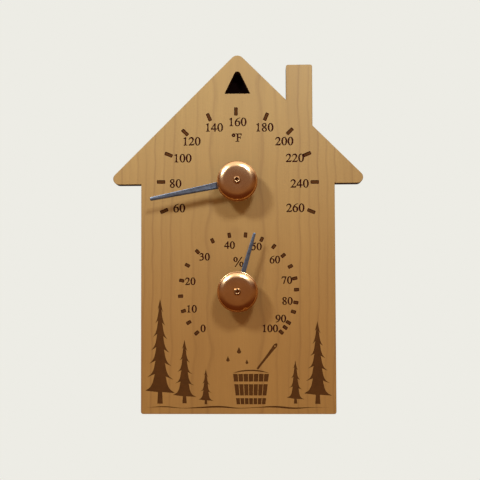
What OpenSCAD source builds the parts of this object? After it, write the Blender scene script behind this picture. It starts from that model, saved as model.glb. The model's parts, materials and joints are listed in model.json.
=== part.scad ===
// House-shaped wall thermometer and hygrometer for a sauna.
// A wooden board carries two dial movements. In each one a spiral strip, held at its outer end by a
// bracket, turns a hub and its pointer, and a drawn cap covers it. One tubular rivet holds the stack.
// Millimetres. +Z is up, the face looks along -Y, the back lies in the plane Y = 0.
// The origin is the axis of the nail that the board hangs on, in the back plane.

/* [Board] */
// Thickness of the wooden board
board_t = 6.35; // [5:0.05:10]
// Width of the house across its two side walls
wall_w = 123.3; // [110:0.1:140]
// Height of the side walls, from the bottom edge to the underside of the eaves
wall_h = 145.9; // [136:0.1:156]
// Overall height, from the bottom edge to the rounded ridge
house_h = 228.6; // [215:0.1:245]
// Pitch of both roof slopes in degrees
roof_pitch = 44.9; // [40:0.1:48]
// Radius on the ridge
ridge_r = 4.8; // [1:0.1:8]
// Radius on the tips of the eaves
eave_r = 3.7; // [1:0.1:6]
// Radius on the two bottom corners
foot_r = 1.5; // [0.5:0.1:6]

/* [Chimney] */
// Width of the chimney
chimney_w = 16.7; // [10:0.1:24]
// Distance from the middle of the house to the middle of the chimney
chimney_x = 39.5; // [30:0.05:48]
// Drop from the ridge to the top of the chimney
chimney_drop = 6.4; // [0:0.1:12]
// Radius on the two top corners of the chimney
chimney_r = 1.3; // [0.5:0.1:4]

/* [Hanging hole] */
// Width of the triangular hole along its base
hang_w = 16.6; // [13:0.1:20]
// Half of the angle at the hole's apex in degrees
hang_half_angle = 25.8; // [20:0.1:30]
// Radius of the apex, where the nail sits
hang_r = 2.1; // [1.6:0.1:2.6]
// Drop from the ridge to the hole's rounded apex
hang_drop = 10.4; // [8:0.1:16]

/* [Dials] */
// Height of the humidity pivot above the bottom edge
humidity_pivot_h = 76.9; // [66:0.1:84]
// Distance from the humidity pivot up to the temperature pivot
pivot_spacing = 69; // [66:0.1:80]
// Angle of the temperature pointer at rest, clockwise from pointing left, in degrees
temperature_rest = -11.2; // [-19:0.1:90]
// Angle of the humidity pointer at rest, clockwise from pointing left, in degrees
humidity_rest = 106.3; // [0:0.1:180]

/* [Rivet] */
// Diameter of the tubular rivet's shank
rivet_d = 2.8; // [2:0.1:3.2]
// Diameter of the hole down the rivet's front end
rivet_bore_d = 1.8; // [1:0.1:1.8]
// Depth of the hole down the rivet's front end
rivet_bore_h = 5; // [3:0.5:12]
// Diameter of the rivet's rear head
rivet_head_d = 6; // [5:0.1:8]
// Thickness of the rivet's rear head
rivet_head_t = 1.2; // [0.8:0.1:1.4]
// Radius of the bead that the rivet's front end is rolled into
rivet_bead_r = 0.65; // [0.5:0.01:0.7]

/* [Washers] */
// Diameter of the recess in the board's back
recess_d = 14; // [13:0.1:18]
// Depth of the recess in the board's back
recess_h = 3; // [2.6:0.1:3.6]
// Diameter of the washer in the recess
back_washer_d = 12; // [9:0.1:12.5]
// Thickness of the washer in the recess
back_washer_t = 0.8; // [0.5:0.1:1]
// Diameter of the washer on the board's face
front_washer_d = 9; // [8:0.1:12]
// Thickness of the washer on the board's face
front_washer_t = 0.8; // [0.5:0.1:1.5]
// Diameter of the washer that backs the cap
cap_washer_d = 8; // [7:0.1:10]
// Thickness of the washer that backs the cap
cap_washer_t = 0.5; // [0.3:0.1:1]

/* [Spacer and bearing] */
// Outer diameter of the spacer tube
spacer_d = 6; // [5:0.1:8]
// Length of the spacer tube, which lifts the movement off the board
spacer_len = 6.2; // [4:0.1:10]
// Outer diameter of the sleeve that the hub turns on
sleeve_d = 4; // [3.8:0.1:4.4]

/* [Bracket] */
// Thickness of the bracket's sheet
bracket_t = 0.6; // [0.4:0.05:1]
// Diameter of the bracket's round foot
bracket_foot_d = 8; // [7:0.1:10]
// Width of the bracket's arm and lug
bracket_w = 4; // [3:0.1:5]
// Diameter of the lug rivet's shank
lug_rivet_d = 1; // [0.8:0.05:1.2]
// Diameter of the lug rivet's two heads
lug_head_d = 1.9; // [1.6:0.05:2.4]
// Thickness of the lug rivet's two heads
lug_head_t = 0.3; // [0.2:0.05:0.35]

/* [Hub and pointers] */
// Diameter of the hub's barrel
hub_d = 7; // [6.6:0.1:7.6]
// Diameter of the hub's flange
flange_d = 9.4; // [8.6:0.1:10.4]
// Thickness of the hub's flange
flange_t = 0.5; // [0.4:0.05:1]
// Thickness of the pointers' sheet
pointer_t = 0.5; // [0.3:0.05:0.8]
// Diameter of the pointers' eye
eye_d = 10; // [9:0.1:11]
// Length of the temperature pointer from its axis to its tip
temperature_pointer_len = 55.8; // [45:0.1:58]
// Width that the temperature pointer's edges would have at its axis
temperature_pointer_w = 4.8; // [3:0.1:5]
// Width of the temperature pointer at its tip
temperature_tip_w = 2.3; // [1:0.1:2.6]
// Length of the humidity pointer from its axis to its tip
humidity_pointer_len = 38.3; // [30:0.1:44]
// Width that the humidity pointer's edges would have at its axis
humidity_pointer_w = 3.5; // [2.6:0.1:4.6]
// Width of the humidity pointer at its tip
humidity_tip_w = 1.8; // [1:0.1:2.2]

/* [Coils] */
// Width of both coils' strip, measured along the axis
strip_w = 3.8; // [3:0.1:5.5]
// Thickness of the temperature coil's bimetal strip
bimetal_t = 0.5; // [0.3:0.05:0.55]
// Whole turns of the temperature coil
bimetal_turns = 4; // [3:1:4]
// Thickness of the humidity coil's laminated strip
laminate_t = 0.35; // [0.25:0.05:0.45]
// Whole turns of the humidity coil
laminate_turns = 5; // [3:1:5]
// Depth that a coil's inner end is tucked into the hub
tuck = 0.6; // [0.4:0.05:0.8]

/* [Caps] */
// Diameter of the caps across the rolled lip
cap_d = 25.4; // [24.4:0.1:30]
// Thickness of the caps' copper sheet
cap_t = 0.5; // [0.3:0.05:0.7]
// Outer radius of the shoulder between crown and wall
shoulder_r = 3.9; // [2.5:0.1:4.4]
// Radius of the slightly domed crown
crown_r = 70; // [50:1:150]
// Radius of the rolled lip's bead
lip_r = 0.5; // [0.4:0.05:0.6]
// How far the lip stands out from the wall
lip_out = 0.3; // [0.1:0.05:0.4]
// Radius of the flat floor of the dish in the middle of the cap
dish_r = 2.6; // [2.3:0.1:3.4]
// Depth of the dish in the middle of the cap
dish_h = 0.5; // [0.2:0.05:0.8]

/* [Clearances] */
// Radial gap between round pieces that fit or turn on each other
fit_gap = 0.05; // [0.02:0.01:0.1]
// End play of the hub at each end of its sleeve
hub_play = 0.3; // [0.2:0.05:0.4]
// Gap between the pointer and the cap's lip in front of it
lip_gap = 0.35; // [0.3:0.05:1]
// Gap along the axis between a coil and what lies behind or in front of it
coil_gap = 0.5; // [0.3:0.05:1]
// Gap round the coil's inner end in the hub's slot
slot_gap = 0.1; // [0.05:0.01:0.15]
// Gap between the hub's barrel and the first turn of a coil
first_turn_gap = 0.45; // [0.4:0.05:0.6]
// Gap between the bracket's lug and the cap's wall
lug_gap = 1.4; // [1:0.1:2]
// Gap round the rivet in the board's hole
hole_gap = 0.15; // [0.1:0.05:0.4]

/* [Hidden] */
$fn = 96;
// Overshoot of a cut past the faces that it goes through
cut = 1;
// Margin at each side between the coil's flat tab and the edge of the lug that it lies on
tab_margin = 0.3;
// How far a rounded corner's circle stands past its sides, so that circle and sides cross cleanly
crossing = 0.002;
wood = "#be9660";
copper = "#b8683a";
steel = "#a9abac";
blued = "#4d5568";
brass = "#b79a58";
laminate = "#c9bda0";

// Outline of the house
peak_h = house_h + ridge_r * (1 / cos(roof_pitch) - 1);
eave_x = (peak_h - wall_h) / tan(roof_pitch);
chimney_top = house_h - chimney_drop;

// Hanging hole, as heights above the bottom edge
hang_apex_h = house_h - hang_drop;
hang_point_h = hang_apex_h + hang_r * (1 / sin(hang_half_angle) - 1);
hang_base_h = hang_point_h - hang_w / 2 / tan(hang_half_angle);
origin_h = hang_apex_h - hang_r;
temperature_pivot_h = humidity_pivot_h + pivot_spacing;

// Depths in front of the board's face, piece by piece up the stack
spacer_z = front_washer_t;
bracket_z = spacer_z + spacer_len;
sleeve_z = bracket_z + bracket_t;
hub_z = sleeve_z + hub_play;
pointer_z = hub_z + flange_t;
coil_z = pointer_z + pointer_t + coil_gap;
hub_top = coil_z + strip_w + coil_gap;
sleeve_top = hub_top + hub_play;
cap_seat_z = sleeve_top + cap_washer_t;
bead_z = cap_seat_z + cap_t;

// Cap, with its rim just in front of the pointer
rim_z = pointer_z + pointer_t + lip_gap;
crown_z = bead_z + dish_h;
cap_wall_r = cap_d / 2 - lip_out;
cap_in_r = cap_wall_r - cap_t;
shoulder = min(shoulder_r, crown_z - rim_z - 2 * lip_r);
crown_c = crown_z - crown_r;
shoulder_x = cap_wall_r - shoulder;
shoulder_z = crown_c + sqrt(pow(crown_r - shoulder, 2) - pow(shoulder_x, 2));
crown_angle = asin(shoulder_x / (crown_r - shoulder));

// Bracket lug and the coils that it holds
lug_out_r = cap_in_r - lug_gap;
lug_r = lug_out_r - bracket_t;
lug_hole_z = coil_z + strip_w / 2;
tab_half = bracket_w / 2 - tab_margin;
steps = 24;
rivet_hole_d = rivet_d + 2 * fit_gap;

// Point at radius r and angle a
function polar(r, a) = [r * cos(a), r * sin(a)];

// Stands what it is given on the board's face, round a pivot at height h above the bottom edge
module at_pivot(h) translate([0, -board_t, h - origin_h]) rotate([90, 0, 0]) children();

// The same for both pivots
module at_both_pivots() {
    at_pivot(temperature_pivot_h) children();
    at_pivot(humidity_pivot_h) children();
}

// Flat ring with its lower face at z
module ring(d, hole, t, z) {
    translate([0, 0, z]) difference() {
        cylinder(d = d, h = t);
        translate([0, 0, -cut]) cylinder(d = hole, h = t + 2 * cut);
    }
}

// Length of a vector made one
function unit(v) = v / norm(v);

// Closed outline through corners [x, y, radius], given in order; a radius of 0 leaves a corner sharp
module rounded_outline(corners) {
    count = len(corners);
    function spot(i) = [corners[i % count][0], corners[i % count][1]];
    function back(i) = unit(spot(i + count - 1) - spot(i));
    function ahead(i) = unit(spot(i + 1) - spot(i));
    function half_angle(i) = acos(back(i) * ahead(i)) / 2;
    function tangent_len(i) = corners[i][2] / tan(half_angle(i));
    polygon([
        for (i = [0:count - 1]) each corners[i][2] == 0 ? [spot(i)] : [
            spot(i) + tangent_len(i) * back(i),
            spot(i) + tangent_len(i) * ahead(i)
        ]
    ]);
    for (i = [0:count - 1]) if (corners[i][2] > 0)
        translate(spot(i) + unit(back(i) + ahead(i)) * corners[i][2] / sin(half_angle(i)))
            circle(r = corners[i][2] + crossing);
}

// Height of the roof slope at a distance from the middle of the house
function roof_h(x) = peak_h - abs(x) * tan(roof_pitch);

module house_outline() {
    wall_x = wall_w / 2;
    chimney_in = chimney_x - chimney_w / 2;
    chimney_out = chimney_x + chimney_w / 2;
    rounded_outline([
        [-wall_x, 0, foot_r],
        [wall_x, 0, foot_r],
        [wall_x, wall_h, 0],
        [eave_x, wall_h, eave_r],
        [chimney_out, roof_h(chimney_out), 0],
        [chimney_out, chimney_top, chimney_r],
        [chimney_in, chimney_top, chimney_r],
        [chimney_in, roof_h(chimney_in), 0],
        [0, peak_h, ridge_r],
        [-eave_x, wall_h, eave_r],
        [-wall_x, wall_h, 0]
    ]);
}

module hanging_hole_outline() {
    rounded_outline([
        [-hang_w / 2, hang_base_h, 0],
        [hang_w / 2, hang_base_h, 0],
        [0, hang_point_h, hang_r]
    ]);
}

module house_board() {
    color(wood) difference() {
        translate([0, 0, -origin_h]) rotate([90, 0, 0]) linear_extrude(board_t) difference() {
            house_outline();
            hanging_hole_outline();
        }
        at_both_pivots() {
            translate([0, 0, -board_t - cut]) cylinder(d = rivet_d + 2 * hole_gap, h = board_t + 2 * cut);
            translate([0, 0, -board_t - cut]) cylinder(d = recess_d, h = recess_h + cut);
        }
    }
}

// Tubular rivet: head in the recess behind the board, front end rolled over the cap
module rivets() {
    washer_back = -board_t + recess_h - back_washer_t;
    bead_r = rivet_bore_d / 2 + rivet_bead_r;
    color(steel) at_both_pivots() difference() {
        union() {
            translate([0, 0, washer_back - rivet_head_t]) cylinder(d = rivet_head_d, h = rivet_head_t);
            translate([0, 0, washer_back]) cylinder(d = rivet_d, h = bead_z + rivet_bead_r - washer_back);
            translate([0, 0, bead_z + rivet_bead_r]) rotate_extrude() translate([bead_r, 0]) circle(r = rivet_bead_r);
        }
        translate([0, 0, bead_z + rivet_bead_r - rivet_bore_h]) cylinder(d = rivet_bore_d, h = rivet_bore_h + cut);
    }
}

module back_washers() {
    color(steel) at_both_pivots()
        ring(back_washer_d, rivet_hole_d, back_washer_t, recess_h - board_t - back_washer_t);
}

module front_washers() {
    color(brass) at_both_pivots() ring(front_washer_d, rivet_hole_d, front_washer_t, 0);
}

module cap_washers() {
    color(steel) at_both_pivots() ring(cap_washer_d, rivet_hole_d, cap_washer_t, sleeve_top);
}

// Lifts the whole movement off the board so that air reaches the coil
module spacer() {
    color(brass) ring(spacer_d, rivet_hole_d, spacer_len, spacer_z);
}

// Fixed sleeve that the hub turns on
module sleeve() {
    color(steel) ring(sleeve_d, rivet_hole_d, sleeve_top - sleeve_z, sleeve_z);
}

// Flat foot under the sleeve, an arm towards six o'clock and a lug bent up outside the coil
module bracket() {
    lug_top = coil_z + strip_w;
    color(brass) difference() {
        union() {
            translate([0, 0, bracket_z]) cylinder(d = bracket_foot_d, h = bracket_t);
            translate([-bracket_w / 2, -lug_out_r, bracket_z]) cube([bracket_w, lug_out_r, bracket_t]);
            translate([-bracket_w / 2, -lug_out_r, bracket_z]) cube([bracket_w, bracket_t, lug_top - bracket_z]);
        }
        translate([0, 0, bracket_z - cut]) cylinder(d = rivet_hole_d, h = bracket_t + 2 * cut);
        lug_hole();
    }
}

// Hole through the lug and the coil's outer end
module lug_hole() {
    translate([0, -lug_r + 2 * cut, lug_hole_z]) rotate([90, 0, 0])
        cylinder(d = lug_rivet_d + 2 * fit_gap, h = bracket_t + 4 * cut, $fn = 32);
}

module lug_rivet(strip_t) {
    grip = strip_t + bracket_t;
    translate([0, -lug_r + strip_t, lug_hole_z]) rotate([90, 0, 0]) {
        cylinder(d = lug_rivet_d, h = grip, $fn = 32);
        translate([0, 0, -lug_head_t]) cylinder(d = lug_head_d, h = lug_head_t, $fn = 32);
        translate([0, 0, grip]) cylinder(d = lug_head_d, h = lug_head_t, $fn = 32);
    }
}

module lug_rivets() {
    color(steel) {
        at_pivot(temperature_pivot_h) lug_rivet(bimetal_t);
        at_pivot(humidity_pivot_h) lug_rivet(laminate_t);
    }
}

// Flat spiral: its inner end is tucked radially into the hub at twelve o'clock, and its outer end
// lies flat against the lug at six o'clock
module coil(strip_t, turns) {
    tab_r = lug_r - strip_t / 2;
    first_r = hub_d / 2 + first_turn_gap + strip_t / 2;
    lead = asin(tab_half / tab_r);
    last_r = tab_r / cos(lead);
    sweep = 360 * turns + 180 - lead;
    count = ceil(sweep / 360 * steps);
    function at(i, side) = polar(first_r + (last_r - first_r) * i / count + side * strip_t / 2, 90 + sweep * i / count);
    tuck_r = hub_d / 2 - tuck;
    difference() {
        translate([0, 0, coil_z]) linear_extrude(strip_w) {
            polygon(concat([for (i = [0:count]) at(i, 1)], [for (i = [count:-1:0]) at(i, -1)]));
            translate([-strip_t / 2, tuck_r]) square([strip_t, first_r + strip_t / 2 - tuck_r]);
            translate([-tab_half - strip_t / 2, -lug_r]) square([2 * tab_half + strip_t / 2, strip_t]);
        }
        lug_hole();
    }
}

// Flanged bush with a slot for the coil's inner end
module hub(strip_t) {
    slot = strip_t + 2 * slot_gap;
    slot_r = hub_d / 2 - tuck - slot_gap;
    color(brass) difference() {
        union() {
            translate([0, 0, hub_z]) cylinder(d = flange_d, h = flange_t);
            translate([0, 0, hub_z]) cylinder(d = hub_d, h = hub_top - hub_z);
        }
        translate([0, 0, hub_z - cut]) cylinder(d = sleeve_d + 2 * fit_gap, h = hub_top - hub_z + 2 * cut);
        translate([-slot / 2, slot_r, coil_z - slot_gap]) cube([slot, hub_d, hub_top - coil_z + slot_gap + cut]);
    }
}

// Tapered strip with an eye that sits on the hub's flange, turned clockwise from pointing left
module pointer(length, axis_w, tip_w, turn) {
    tip_r = tip_w / 2;
    color(blued) translate([0, 0, pointer_z]) rotate(180 - turn) linear_extrude(pointer_t) difference() {
        union() {
            circle(d = eye_d);
            polygon([
                [0, -axis_w / 2], [length - tip_r, -tip_r],
                [length - tip_r, tip_r], [0, axis_w / 2]
            ]);
            translate([length - tip_r, 0]) circle(r = tip_r, $fn = 32);
        }
        circle(d = hub_d + 2 * fit_gap);
    }
}

// Half section of the cap's surface, taken in by inset from its outer face
module cap_fill(inset) {
    reach = 2 * crown_r;
    difference() {
        union() {
            intersection() {
                translate([0, crown_c]) circle(r = crown_r - inset, $fn = 360);
                polygon([
                    [0, crown_c],
                    [reach * sin(crown_angle), crown_c + reach * cos(crown_angle)],
                    [0, crown_c + reach]
                ]);
            }
            translate([shoulder_x, shoulder_z]) circle(r = shoulder - inset + crossing);
            translate([0, rim_z - cut]) square([cap_wall_r - inset, shoulder_z - rim_z + cut]);
        }
        polygon([
            [-cut, bead_z - inset], [dish_r + inset, bead_z - inset],
            [dish_r + inset + 2 * dish_h, bead_z - inset + 2 * dish_h], [-cut, bead_z - inset + 2 * dish_h]
        ]);
    }
}

// Drawn copper cap with a rolled lip and a dished middle
module cap() {
    color(copper) rotate_extrude() {
        difference() {
            intersection() {
                difference() {
                    cap_fill(0);
                    cap_fill(cap_t);
                }
                translate([0, rim_z + lip_r]) square([cap_d, crown_z]);
            }
            translate([-cut, rim_z - cut]) square([rivet_hole_d / 2 + cut, crown_z]);
        }
        translate([cap_d / 2 - lip_r, rim_z + lip_r]) circle(r = lip_r, $fn = 32);
    }
}

module temperature_spacer() at_pivot(temperature_pivot_h) spacer();
module temperature_sleeve() at_pivot(temperature_pivot_h) sleeve();
module temperature_bracket() at_pivot(temperature_pivot_h) bracket();
module temperature_coil() color(brass) at_pivot(temperature_pivot_h) coil(bimetal_t, bimetal_turns);
module temperature_hub() at_pivot(temperature_pivot_h) hub(bimetal_t);
module temperature_pointer() at_pivot(temperature_pivot_h)
    pointer(temperature_pointer_len, temperature_pointer_w, temperature_tip_w, temperature_rest);
module temperature_cap() at_pivot(temperature_pivot_h) cap();

module humidity_spacer() at_pivot(humidity_pivot_h) spacer();
module humidity_sleeve() at_pivot(humidity_pivot_h) sleeve();
module humidity_bracket() at_pivot(humidity_pivot_h) bracket();
module humidity_coil() color(laminate) at_pivot(humidity_pivot_h) coil(laminate_t, laminate_turns);
module humidity_hub() at_pivot(humidity_pivot_h) hub(laminate_t);
module humidity_pointer() at_pivot(humidity_pivot_h)
    pointer(humidity_pointer_len, humidity_pointer_w, humidity_tip_w, humidity_rest);
module humidity_cap() at_pivot(humidity_pivot_h) cap();

house_board();
rivets();
back_washers();
front_washers();
cap_washers();
lug_rivets();
temperature_spacer();
temperature_sleeve();
temperature_bracket();
temperature_coil();
temperature_hub();
temperature_pointer();
temperature_cap();
humidity_spacer();
humidity_sleeve();
humidity_bracket();
humidity_coil();
humidity_hub();
humidity_pointer();
humidity_cap();
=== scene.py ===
"""Sauna thermometer and hygrometer on a house-shaped maple board.

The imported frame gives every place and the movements' small parts. This file adds the engraved board,
the copper caps and rivets, the blued pointers and the two coils, and gives each surface its finish.
Pieces are drawn in millimetres on a face that lies flat (x right, y up, z towards the viewer) and then
stood up in the frame by one matrix.
"""

import json
import math

import bmesh
import bpy
from bpy.props import FloatProperty, FloatVectorProperty, IntProperty, PointerProperty
from mathutils import Matrix, Vector
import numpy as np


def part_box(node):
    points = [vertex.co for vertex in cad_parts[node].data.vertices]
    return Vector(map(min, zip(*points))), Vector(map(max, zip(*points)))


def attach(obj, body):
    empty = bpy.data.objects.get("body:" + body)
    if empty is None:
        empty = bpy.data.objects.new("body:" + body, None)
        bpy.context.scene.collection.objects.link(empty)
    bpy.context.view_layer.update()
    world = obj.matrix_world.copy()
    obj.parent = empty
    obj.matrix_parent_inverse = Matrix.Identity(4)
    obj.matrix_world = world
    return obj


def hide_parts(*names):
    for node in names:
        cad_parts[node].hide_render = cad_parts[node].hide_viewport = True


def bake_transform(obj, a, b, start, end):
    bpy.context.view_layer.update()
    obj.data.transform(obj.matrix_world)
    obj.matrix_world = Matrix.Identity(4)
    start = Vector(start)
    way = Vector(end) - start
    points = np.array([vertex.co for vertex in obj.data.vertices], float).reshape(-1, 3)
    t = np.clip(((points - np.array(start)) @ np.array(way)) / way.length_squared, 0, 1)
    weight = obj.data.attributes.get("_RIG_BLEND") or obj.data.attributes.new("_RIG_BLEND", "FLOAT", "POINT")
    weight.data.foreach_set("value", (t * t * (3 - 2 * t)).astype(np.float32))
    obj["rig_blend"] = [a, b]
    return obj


bl_info = {
    "name": "Sauna Thermometer",
    "version": (1, 0, 0),
    "blender": (4, 5, 0),
    "location": "3D View > Sidebar > Sauna",
    "description": "Builds the looks of a wall thermometer and hygrometer round its packed frame",
    "category": "Object",
}

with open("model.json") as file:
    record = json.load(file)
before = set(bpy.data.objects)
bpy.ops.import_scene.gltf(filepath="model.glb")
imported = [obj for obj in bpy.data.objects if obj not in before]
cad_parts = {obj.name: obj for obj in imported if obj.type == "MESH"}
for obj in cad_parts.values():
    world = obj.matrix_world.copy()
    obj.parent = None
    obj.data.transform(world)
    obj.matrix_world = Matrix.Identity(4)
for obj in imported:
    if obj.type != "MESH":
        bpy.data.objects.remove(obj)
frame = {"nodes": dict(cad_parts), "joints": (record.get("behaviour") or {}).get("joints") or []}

MM = 0.001
BOARD_LOW, BOARD_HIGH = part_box("house_board")
BOARD_T = (BOARD_HIGH.y - BOARD_LOW.y) / MM
HOUSE_H = (BOARD_HIGH.z - BOARD_LOW.z) / MM
# Height of the board's bottom edge, in the frame's millimetres
BOTTOM = BOARD_LOW.z / MM
PIVOTS = {joint["child"]: joint["pos_m"][2] / MM for joint in frame["joints"]}
BODIES = {"temperature": "temperature_hand", "humidity": "humidity_hand"}
# Play in millimetres round a shank or a barrel in its hole
CLEARANCE = 0.05
# How far cutters stand out of the board, in millimetres
PAST = 1.0


def linear(code):
    """Linear colour with alpha of an sRGB hex code."""
    def channel(pair):
        value = int(pair, 16) / 255
        return value / 12.92 if value <= 0.04045 else ((value + 0.055) / 1.055) ** 2.4
    return tuple(channel(code[start:start + 2]) for start in (0, 2, 4)) + (1.0,)


def mm(length):
    """A property's length in millimetres."""
    return length / MM


def length(name, description, size):
    """A length property whose default is a size in millimetres."""
    return FloatProperty(name=name, description=description, default=size * MM, unit="LENGTH", precision=5)


def turn(name, description, degrees):
    """An angle property whose default is given in degrees."""
    return FloatProperty(name=name, description=description, default=math.radians(degrees), subtype="ANGLE")


def colour(name, description, code):
    """A colour property whose default is an sRGB hex code."""
    return FloatVectorProperty(name=name, description=description, default=linear(code), subtype="COLOR",
                               size=4, min=0, max=1)


class BoardSettings(bpy.types.PropertyGroup):
    """Outline of the house and its woods."""
    wall_width: length("Wall width", "Width of the house across its two side walls", 123.3)
    wall_height: length("Wall height", "Height of the walls up to the eaves", 145.9)
    roof_pitch: turn("Roof pitch", "Slope of both halves of the roof", 44.9)
    ridge_radius: length("Ridge radius", "Rounding of the ridge", 4.8)
    eave_radius: length("Eave radius", "Rounding of the eaves' tips", 3.7)
    foot_radius: length("Foot radius", "Rounding of the bottom corners", 1.5)
    chimney_width: length("Chimney width", "Width of the chimney", 16.7)
    chimney_place: length("Chimney place", "Distance of the chimney from the middle", 39.5)
    chimney_drop: length("Chimney drop", "Drop from the ridge to the top of the chimney", 6.4)
    chimney_radius: length("Chimney radius", "Rounding of the chimney's corners", 1.3)
    hole_width: length("Hole width", "Width of the triangular hanging hole at its base", 16.6)
    hole_half_angle: turn("Hole half angle", "Half of the angle at the hole's apex", 25.8)
    hole_radius: length("Hole radius", "Rounding of the hole's apex", 2.1)
    rivet_hole: length("Rivet hole", "Diameter of the holes for the rivets", 3.1)
    recess_width: length("Recess width", "Diameter of the recesses in the back", 14.0)
    recess_depth: length("Recess depth", "Depth of the recesses in the back", 3.0)
    edge_rounding: length("Edge rounding", "Rounding of the board's long edges", 0.25)
    engraving_depth: length("Engraving depth", "Depth of the figures in the face", 0.35)
    mark_depth: length("Mark depth", "Depth of the scales' marks in the face", 0.3)
    picture_depth: length("Picture depth", "Depth of the picture in the face", 0.25)
    ring_width: length("Ring width", "Distance from one growth ring to the next", 4.4)
    # Painted light and shade: the maple is lighter at the top and darker at the bottom, as the lamps above light
    # the board unevenly. The lower tone also serves the bored recesses.
    wood_high: colour("Wood above", "Maple in the upper part of the board", "AE8546")
    wood_low: colour("Wood below", "Maple in the lower part of the board", "A26F31")
    ring: colour("Ring", "Darker late wood of the growth rings", "6E4014")
    burnt: colour("Burnt edge", "Wood scorched by the laser on cut edges", "4A2812")
    engraved: colour("Engraving", "Wood scorched in the engraved figures", "380C03")
    engraved_pale: colour("Pale engraving", "Wood of the picture and of the marks' middles", "56300F")


class DialSettings(bpy.types.PropertyGroup):
    """Marks and figures of the two scales."""
    upper_drop: length("Upper scale drop", "Distance of the upper scale's middle below its pivot", 2.7)
    upper_radius: length("Upper scale radius", "Radius of the upper scale's marks", 49.1)
    upper_mark: length("Upper mark", "Length of the upper scale's marks", 5.0)
    upper_mark_width: length("Upper mark width", "Width of the upper scale's marks", 2.0)
    upper_figure: length("Upper figures", "Height of the upper scale's figures", 5.15)
    lower_drop: length("Lower scale drop", "Distance of the lower marks' middle below its pivot", 0.3)
    lower_shift: length("Lower scale shift", "Distance of the lower marks' middle right of its pivot", 0.3)
    lower_radius: length("Lower scale radius", "Radius of the lower scale's marks", 36.8)
    lower_mark: length("Lower mark", "Length of the lower scale's marks", 2.95)
    lower_mark_width: length("Lower mark width", "Width of the lower scale's marks", 1.85)
    lower_figure: length("Lower figures", "Height of the lower scale's figures", 4.5)
    percent_figure: length("Percent sign", "Height of the percent sign", 5.9)
    swell: length("Swell", "How far the laser burns past the drawn edge of figures and marks", 0.17)
    spacing: length("Letter spacing", "Room added between the signs of one figure", 0.14)


class MovementSettings(bpy.types.PropertyGroup):
    """Caps, rivets, pointers and coils."""
    cap_sheet: length("Cap sheet", "Thickness of the caps' copper", 0.5)
    seat_radius: length("Seat radius", "Radius of the flat middle of a cap, round its rivet", 4.0)
    crown_edge: length("Crown edge", "Radius of the crown, inside the sloping shoulder", 8.1)
    crown_lean: turn("Crown lean", "Slope of the slightly domed crown at its edge", 3.9)
    shoulder_edge: length("Shoulder edge", "Radius of the shoulder's outer end", 11.2)
    shoulder_lean: turn("Shoulder lean", "Slope of the shoulder at its outer end", 32.0)
    lip_radius: length("Lip radius", "Radius of the rolled lip's bead", 0.5)
    lip_out: length("Lip overhang", "How far the lip stands out from the wall", 0.5)
    rivet_shank: length("Rivet shank", "Diameter of the rivets", 2.8)
    rivet_bore: length("Rivet bore", "Diameter of the hole in the rivets' rolled end", 1.8)
    rivet_bore_depth: length("Rivet bore depth", "Depth of the hole in the rivets' rolled end", 5.0)
    rivet_bead: length("Rivet bead", "Radius of the bead that the rivets are rolled into", 0.65)
    rivet_head: length("Rivet head", "Diameter of the rivets' rear head", 6.0)
    rivet_head_thickness: length("Rivet head thickness", "Thickness of the rivets' rear head", 1.2)
    pointer_eye: length("Pointer eye", "Diameter of the pointers' eye", 10.0)
    pointer_slope: length("Pointer slope", "Width of the slopes along the pointers' edges", 0.45)
    pointer_crown: length("Pointer crown", "Height of the slopes along the pointers' edges", 0.12)
    temperature_length: length("Temperature pointer length", "From its axis to its tip", 55.8)
    temperature_width: length("Temperature pointer width", "Width that its edges would have at its axis", 4.8)
    temperature_tip: length("Temperature pointer tip", "Width at the tip", 2.3)
    temperature_rest: turn("Temperature pointer at rest", "Clockwise from pointing left", -11.2)
    humidity_length: length("Humidity pointer length", "From its axis to its tip", 38.3)
    humidity_width: length("Humidity pointer width", "Width that its edges would have at its axis", 3.5)
    humidity_tip: length("Humidity pointer tip", "Width at the tip", 1.8)
    humidity_rest: turn("Humidity pointer at rest", "Clockwise from pointing left", 106.3)
    hub_barrel: length("Hub barrel", "Diameter of the hubs' barrels", 7.0)
    tuck: length("Tuck", "Depth that a coil's inner end is tucked into its hub", 0.6)
    first_turn_gap: length("First turn gap", "Gap between a hub's barrel and its coil's first turn", 0.45)
    fold_radius: length("Fold radius", "Radius of the fold at a coil's inner end", 0.5)
    tab: length("Tab", "Length of a coil's flat end past its rivet", 1.7)
    temperature_strip: length("Bimetal strip", "Thickness of the temperature coil's strip", 0.5)
    humidity_strip: length("Laminated strip", "Thickness of the humidity coil's strip", 0.35)
    temperature_turns: IntProperty(name="Bimetal turns", description="Whole turns of the temperature coil",
                                   default=4)
    humidity_turns: IntProperty(name="Laminate turns", description="Whole turns of the humidity coil", default=5)
    copper: colour("Copper", "Polished and lacquered copper", "ECB884")
    copper_dark: colour("Copper, tarnished", "Brown bloom on the copper", "A8683A")
    blued: colour("Blued steel", "Steel coloured by heat", "72747E")
    brass: colour("Brass", "Rolled brass sheet and rod", "C9A765")
    steel: colour("Steel", "Zinc-plated steel", "B9BABB")
    laminate: colour("Laminate", "Layer that swells with moisture", "C9BDA0")


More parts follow.
